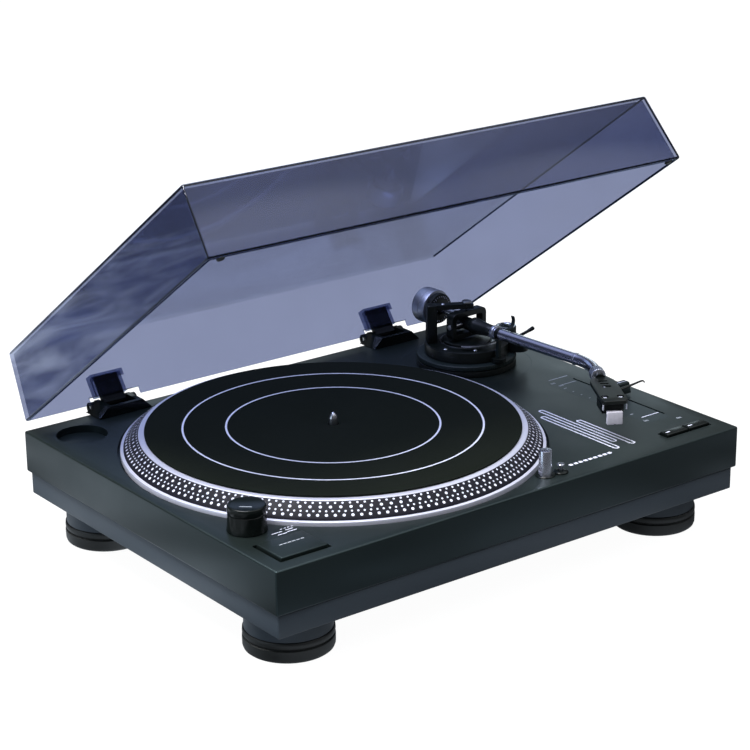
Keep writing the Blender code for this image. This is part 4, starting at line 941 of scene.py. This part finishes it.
def hinges():
    for side, word in ((-1, "left"), (1, "right")):
        x = side * HINGE_X
        base, knuckles, slot, bore = new_shapes(4)
        add_box(base, (x - 25, 158, 0.3), (x + 25, 180, 8.8), (8.5, 0))
        add_rod(knuckles, 4.7, (x - 21.5, x + 21.5), HINGE_AXIS, "X", 40)
        add_box(slot, (x - 12.4, 161.5, -10), (x + 12.4, 192, 14))
        add_rod(bore, 2.3, (x - 30, x + 30), HINGE_AXIS, "X", 24)
        mesh = carved(base, [(JOIN, knuckles), (CUT, slot), (CUT, bore)])
        put(f"hinge_block_{word}", mesh, GLOSS, stands_for=f"hinge_base_{word}", bevel=0.35)
        barrel, leg, hole, slit = new_shapes(4)
        add_rod(barrel, 4.4, (x - 11, x + 11), (0, 0), "X", 40)
        add_box(leg, (x - 10.4, -6.58, 0), (x + 10.4, -2.28, 23))
        add_box(slit, (x - 0.8, -8, 12), (x + 0.8, -5.4, 21))
        add_rod(hole, 2.3, (x - 12, x + 12), (0, 0), "X", 24)
        mesh = carved(barrel, [(JOIN, leg), (CUT, hole), (CUT, slit)])
        put(f"hinge_tongue_{word}_body", mesh, GLOSS, "cover", HINGE, f"hinge_tongue_{word}", bevel=0.3)
        screws = bmesh.new()
        for across in (-14.76, 14.76):
            add_screw(screws, 1.8, 7.6, (x + across, 165))
        put(f"hinge_screws_{word}", screws, STEEL)


# Rear panel and what stays as packed.
def rear():
    details = bmesh.new()
    profile = [(4.3, 0.35), (4.3, 0.9), (6.9, 0.9), (7.2, 0.35)]
    for x, mat in ((-46, 0), (-62, 1)):
        jack_at = shift(x, SOCKET_FACE, -20.5) @ BACKWARD
        add_turned(details, profile, 40, jack_at, ring=True, mats=[mat] * 4)
    put("jack_rings", details, [SIGNAL_RED, SIGNAL_WHITE])
    profile = [(0, 6.6), (3.2, 6.6), (4.4, 6.0, 0.4), (4.4, 2.2, 0.4), (3.4, 1.6), (0, 1.6)]
    knurl = lathe(profile, 96, shift(-28, SOCKET_FACE, -20.5) @ BACKWARD, ribs=24)
    put("ground_nut", knurl, ALLOY, stands_for="ground_terminal")
    pins = bmesh.new()
    for x, z in ((-134, -22.5), (-129, -18.5), (-124, -22.5)):
        add_box(pins, (x - 1, 158.2, z - 2.2), (x + 1, SOCKET_FACE, z + 2.2))
    put("inlet_pins", pins, ALLOY, bevel=0.3)
    tongue = bmesh.new()
    add_box(tongue, (-101, 169.2, -21.4), (-95, 173.6, -19.6))
    put("usb_tongue", tongue, SIGNAL_WHITE, bevel=0.2)
    screws = bmesh.new()
    profile = [(0, 1.0), (0.6, 0.9), (1.3, 0.7), (1.7, 0.1), (0, 0.1)]
    for x in (-144, -23):
        for z in (-28, -13):
            add_turned(screws, profile, 24, shift(x, SOCKET_FACE, z) @ BACKWARD)
    put("panel_screws", screws, STEEL)
    for node, material in {
        "rear_socket_plate": STEEL, "mains_inlet": GREY, "usb_socket": STEEL, "rca_jack_left": STEEL,
        "rca_jack_right": STEEL, "line_switch": GREY, "hinge_pin_left": STEEL, "hinge_pin_right": STEEL,
        "magnet_ring": IRON, "motor_stator": IRON, "bearing_housing": ALLOY, "main_board": BOARD,
        "transformer": IRON, "pitch_track": STEEL,
    }.items():
        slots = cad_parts[node].data.materials
        slots.clear()
        slots.append(material)


# Studio, whose lengths are in metres.
def studio():
    def stage_piece(name, mesh, strength, albedo):
        """A surface that the camera sees and that neither lights the object nor is mirrored in it."""
        material = new_material(name)
        shader = material.node_tree.nodes["Principled BSDF"]
        shader.inputs["Base Color"].default_value = (albedo, albedo, albedo, 1)
        shader.inputs["Roughness"].default_value = 1.0
        shader.inputs["Specular IOR Level"].default_value = 0.0
        shader.inputs["Emission Color"].default_value = (1, 1, 1, 1)
        shader.inputs["Emission Strength"].default_value = strength
        obj = new_object(name, mesh)
        mesh.materials.append(material)
        for flag in ("visible_diffuse", "visible_glossy", "visible_transmission", "visible_shadow"):
            setattr(obj, flag, False)

    floor = bmesh.new()
    bmesh.ops.create_circle(floor, cap_ends=True, segments=96, radius=9.0)
    stage_piece("floor", mesh_of(floor), 0.97, 0.1)
    sky = bmesh.new()
    bmesh.ops.create_uvsphere(sky, u_segments=48, v_segments=24, radius=9.5)
    stage_piece("backdrop", mesh_of(sky), 1.0, 0.0)

    # A patchy pale surface under the object, seen only in mirror reflections. It is brighter on one side and
    # fades with distance.
    card = bmesh.new()
    bmesh.ops.create_circle(card, cap_ends=True, segments=64, radius=2.5)
    reflector = new_object("reflector", mesh_of(card))
    reflector.location.z = -0.002
    white = new_material("reflector_glow")
    tree = white.node_tree
    tree.nodes.remove(tree.nodes["Principled BSDF"])
    soft = {"interpolation_type": "SMOOTHSTEP"}
    coords = new_node(tree, "TexCoord")
    place = (coords, "Object")
    slant = new_node(tree, "VectorMath", {1: (-0.6, 0.8, 0.0)}, {0: place}, operation="DOT_PRODUCT")
    side = new_ramp(tree, (-0.16, 0.16, 0.42, 1.0), (slant, "Value"), **soft)
    reach = new_node(tree, "VectorMath", feeds={0: place}, operation="LENGTH")
    fade = new_ramp(tree, (0.5, 1.5, 1.0, 0.5), (reach, "Value"), **soft)
    both = new_node(tree, "Math", feeds={0: (side, "Result"), 1: (fade, "Result")}, operation="MULTIPLY")
    clouds = new_noise(tree, 3.6, 7.0, place, Distortion=1.6)
    spread = new_ramp(tree, (0.38, 0.64, 0.15, 1.7), (clouds, "Fac"))
    patchy = new_node(tree, "Math", feeds={0: (spread, "Result"), 1: (both, "Value")}, operation="MULTIPLY")
    shine = new_node(tree, "Emission", {"Color": (0.86, 0.95, 1.05, 1)}, {"Strength": (patchy, "Value")})
    feed(tree, tree.nodes["Material Output"], {"Surface": (shine, "Emission")})
    reflector.data.materials.append(white)
    for flag in ("visible_camera", "visible_diffuse", "visible_transmission", "visible_shadow"):
        setattr(reflector, flag, False)

    world = bpy.data.worlds.new("studio")
    bpy.context.scene.world = world
    world.use_nodes = True
    tree = world.node_tree
    shade = tree.nodes["Background"]
    coords = new_node(tree, "TexCoord")

    def glow(direction, start, end, value, before=None):
        """Adds a soft patch of light round a direction."""
        middle = Vector(direction).normalized()
        dot = new_node(tree, "VectorMath", {1: middle}, {0: (coords, "Generated")}, operation="DOT_PRODUCT")
        patch = new_ramp(tree, (start, end, 0.0, value), (dot, "Value"), **soft)
        if before is None:
            return patch, "Result"
        return new_node(tree, "Math", feeds={0: before, 1: (patch, "Result")}), "Value"

    light = glow((0, 0, 1), 0.5, 0.8, 1.25)
    light = glow((0.44, -0.53, 0.73), 0.975, 0.998, 1.7, light)
    light = glow((0.71, -0.46, 0.53), 0.975, 0.998, 1.5, light)
    base = new_node(tree, "Math", {1: 0.1}, {0: light})
    feed(tree, shade, {"Strength": (base, "Value")})
    shade.inputs["Color"].default_value = (0.93, 0.95, 1.0, 1)

    def softbox(name, at, aim, size, power, colour=(1, 1, 1)):
        """A rectangular light at a place, aimed at another."""
        data = bpy.data.lights.new(name, "AREA")
        data.shape = "RECTANGLE"
        data.size, data.size_y = size
        data.energy = power
        data.color = colour
        lamp = new_object(name, data)
        lamp.location = at
        lamp.rotation_mode = "QUATERNION"
        lamp.rotation_quaternion = (Vector(aim) - Vector(at)).to_track_quat("-Z", "Y")

    softbox("overhead", (-0.5, 0.1, 1.7), (0, 0, 0.1), (1.1, 1.1), 60)
    softbox("left_side", (-1.8, 0.35, 0.5), (0, 0, 0.1), (1.0, 0.7), 4.5, (0.75, 0.92, 1.1))
    softbox("rear_card", (0.19, 0.54, 0.39), (-0.19, -0.04, 0.09), (0.32, 0.24), 0.38, (0.8, 0.93, 1.0))
    softbox("right_card", (0.66, 0.47, 0.25), (0.21, 0.04, 0.09), (0.26, 0.16), 0.16, (0.75, 0.92, 1.0))

    camera = new_object("camera", bpy.data.cameras.new("camera"))
    bpy.context.scene.camera = camera
    camera.data.lens = 108.77
    camera.data.sensor_width = 36.0
    camera_at = (-1.0275, -1.35821, 0.7272)
    heading, dip, roll = -37.262, 19.4, -0.57
    aim = turn(heading, "Z") @ turn(90 - dip, "X") @ turn(roll, "Z")
    camera.matrix_world = Matrix.Translation(camera_at) @ aim
    bpy.context.scene.view_settings.view_transform = "Standard"
    bpy.context.scene.cycles.transparent_max_bounces = 24


plinth()
feet()
platter()
controls()
printing()
arm_column()
cueing()
arm()
headshell()
cover()
hinges()
rear()
studio()
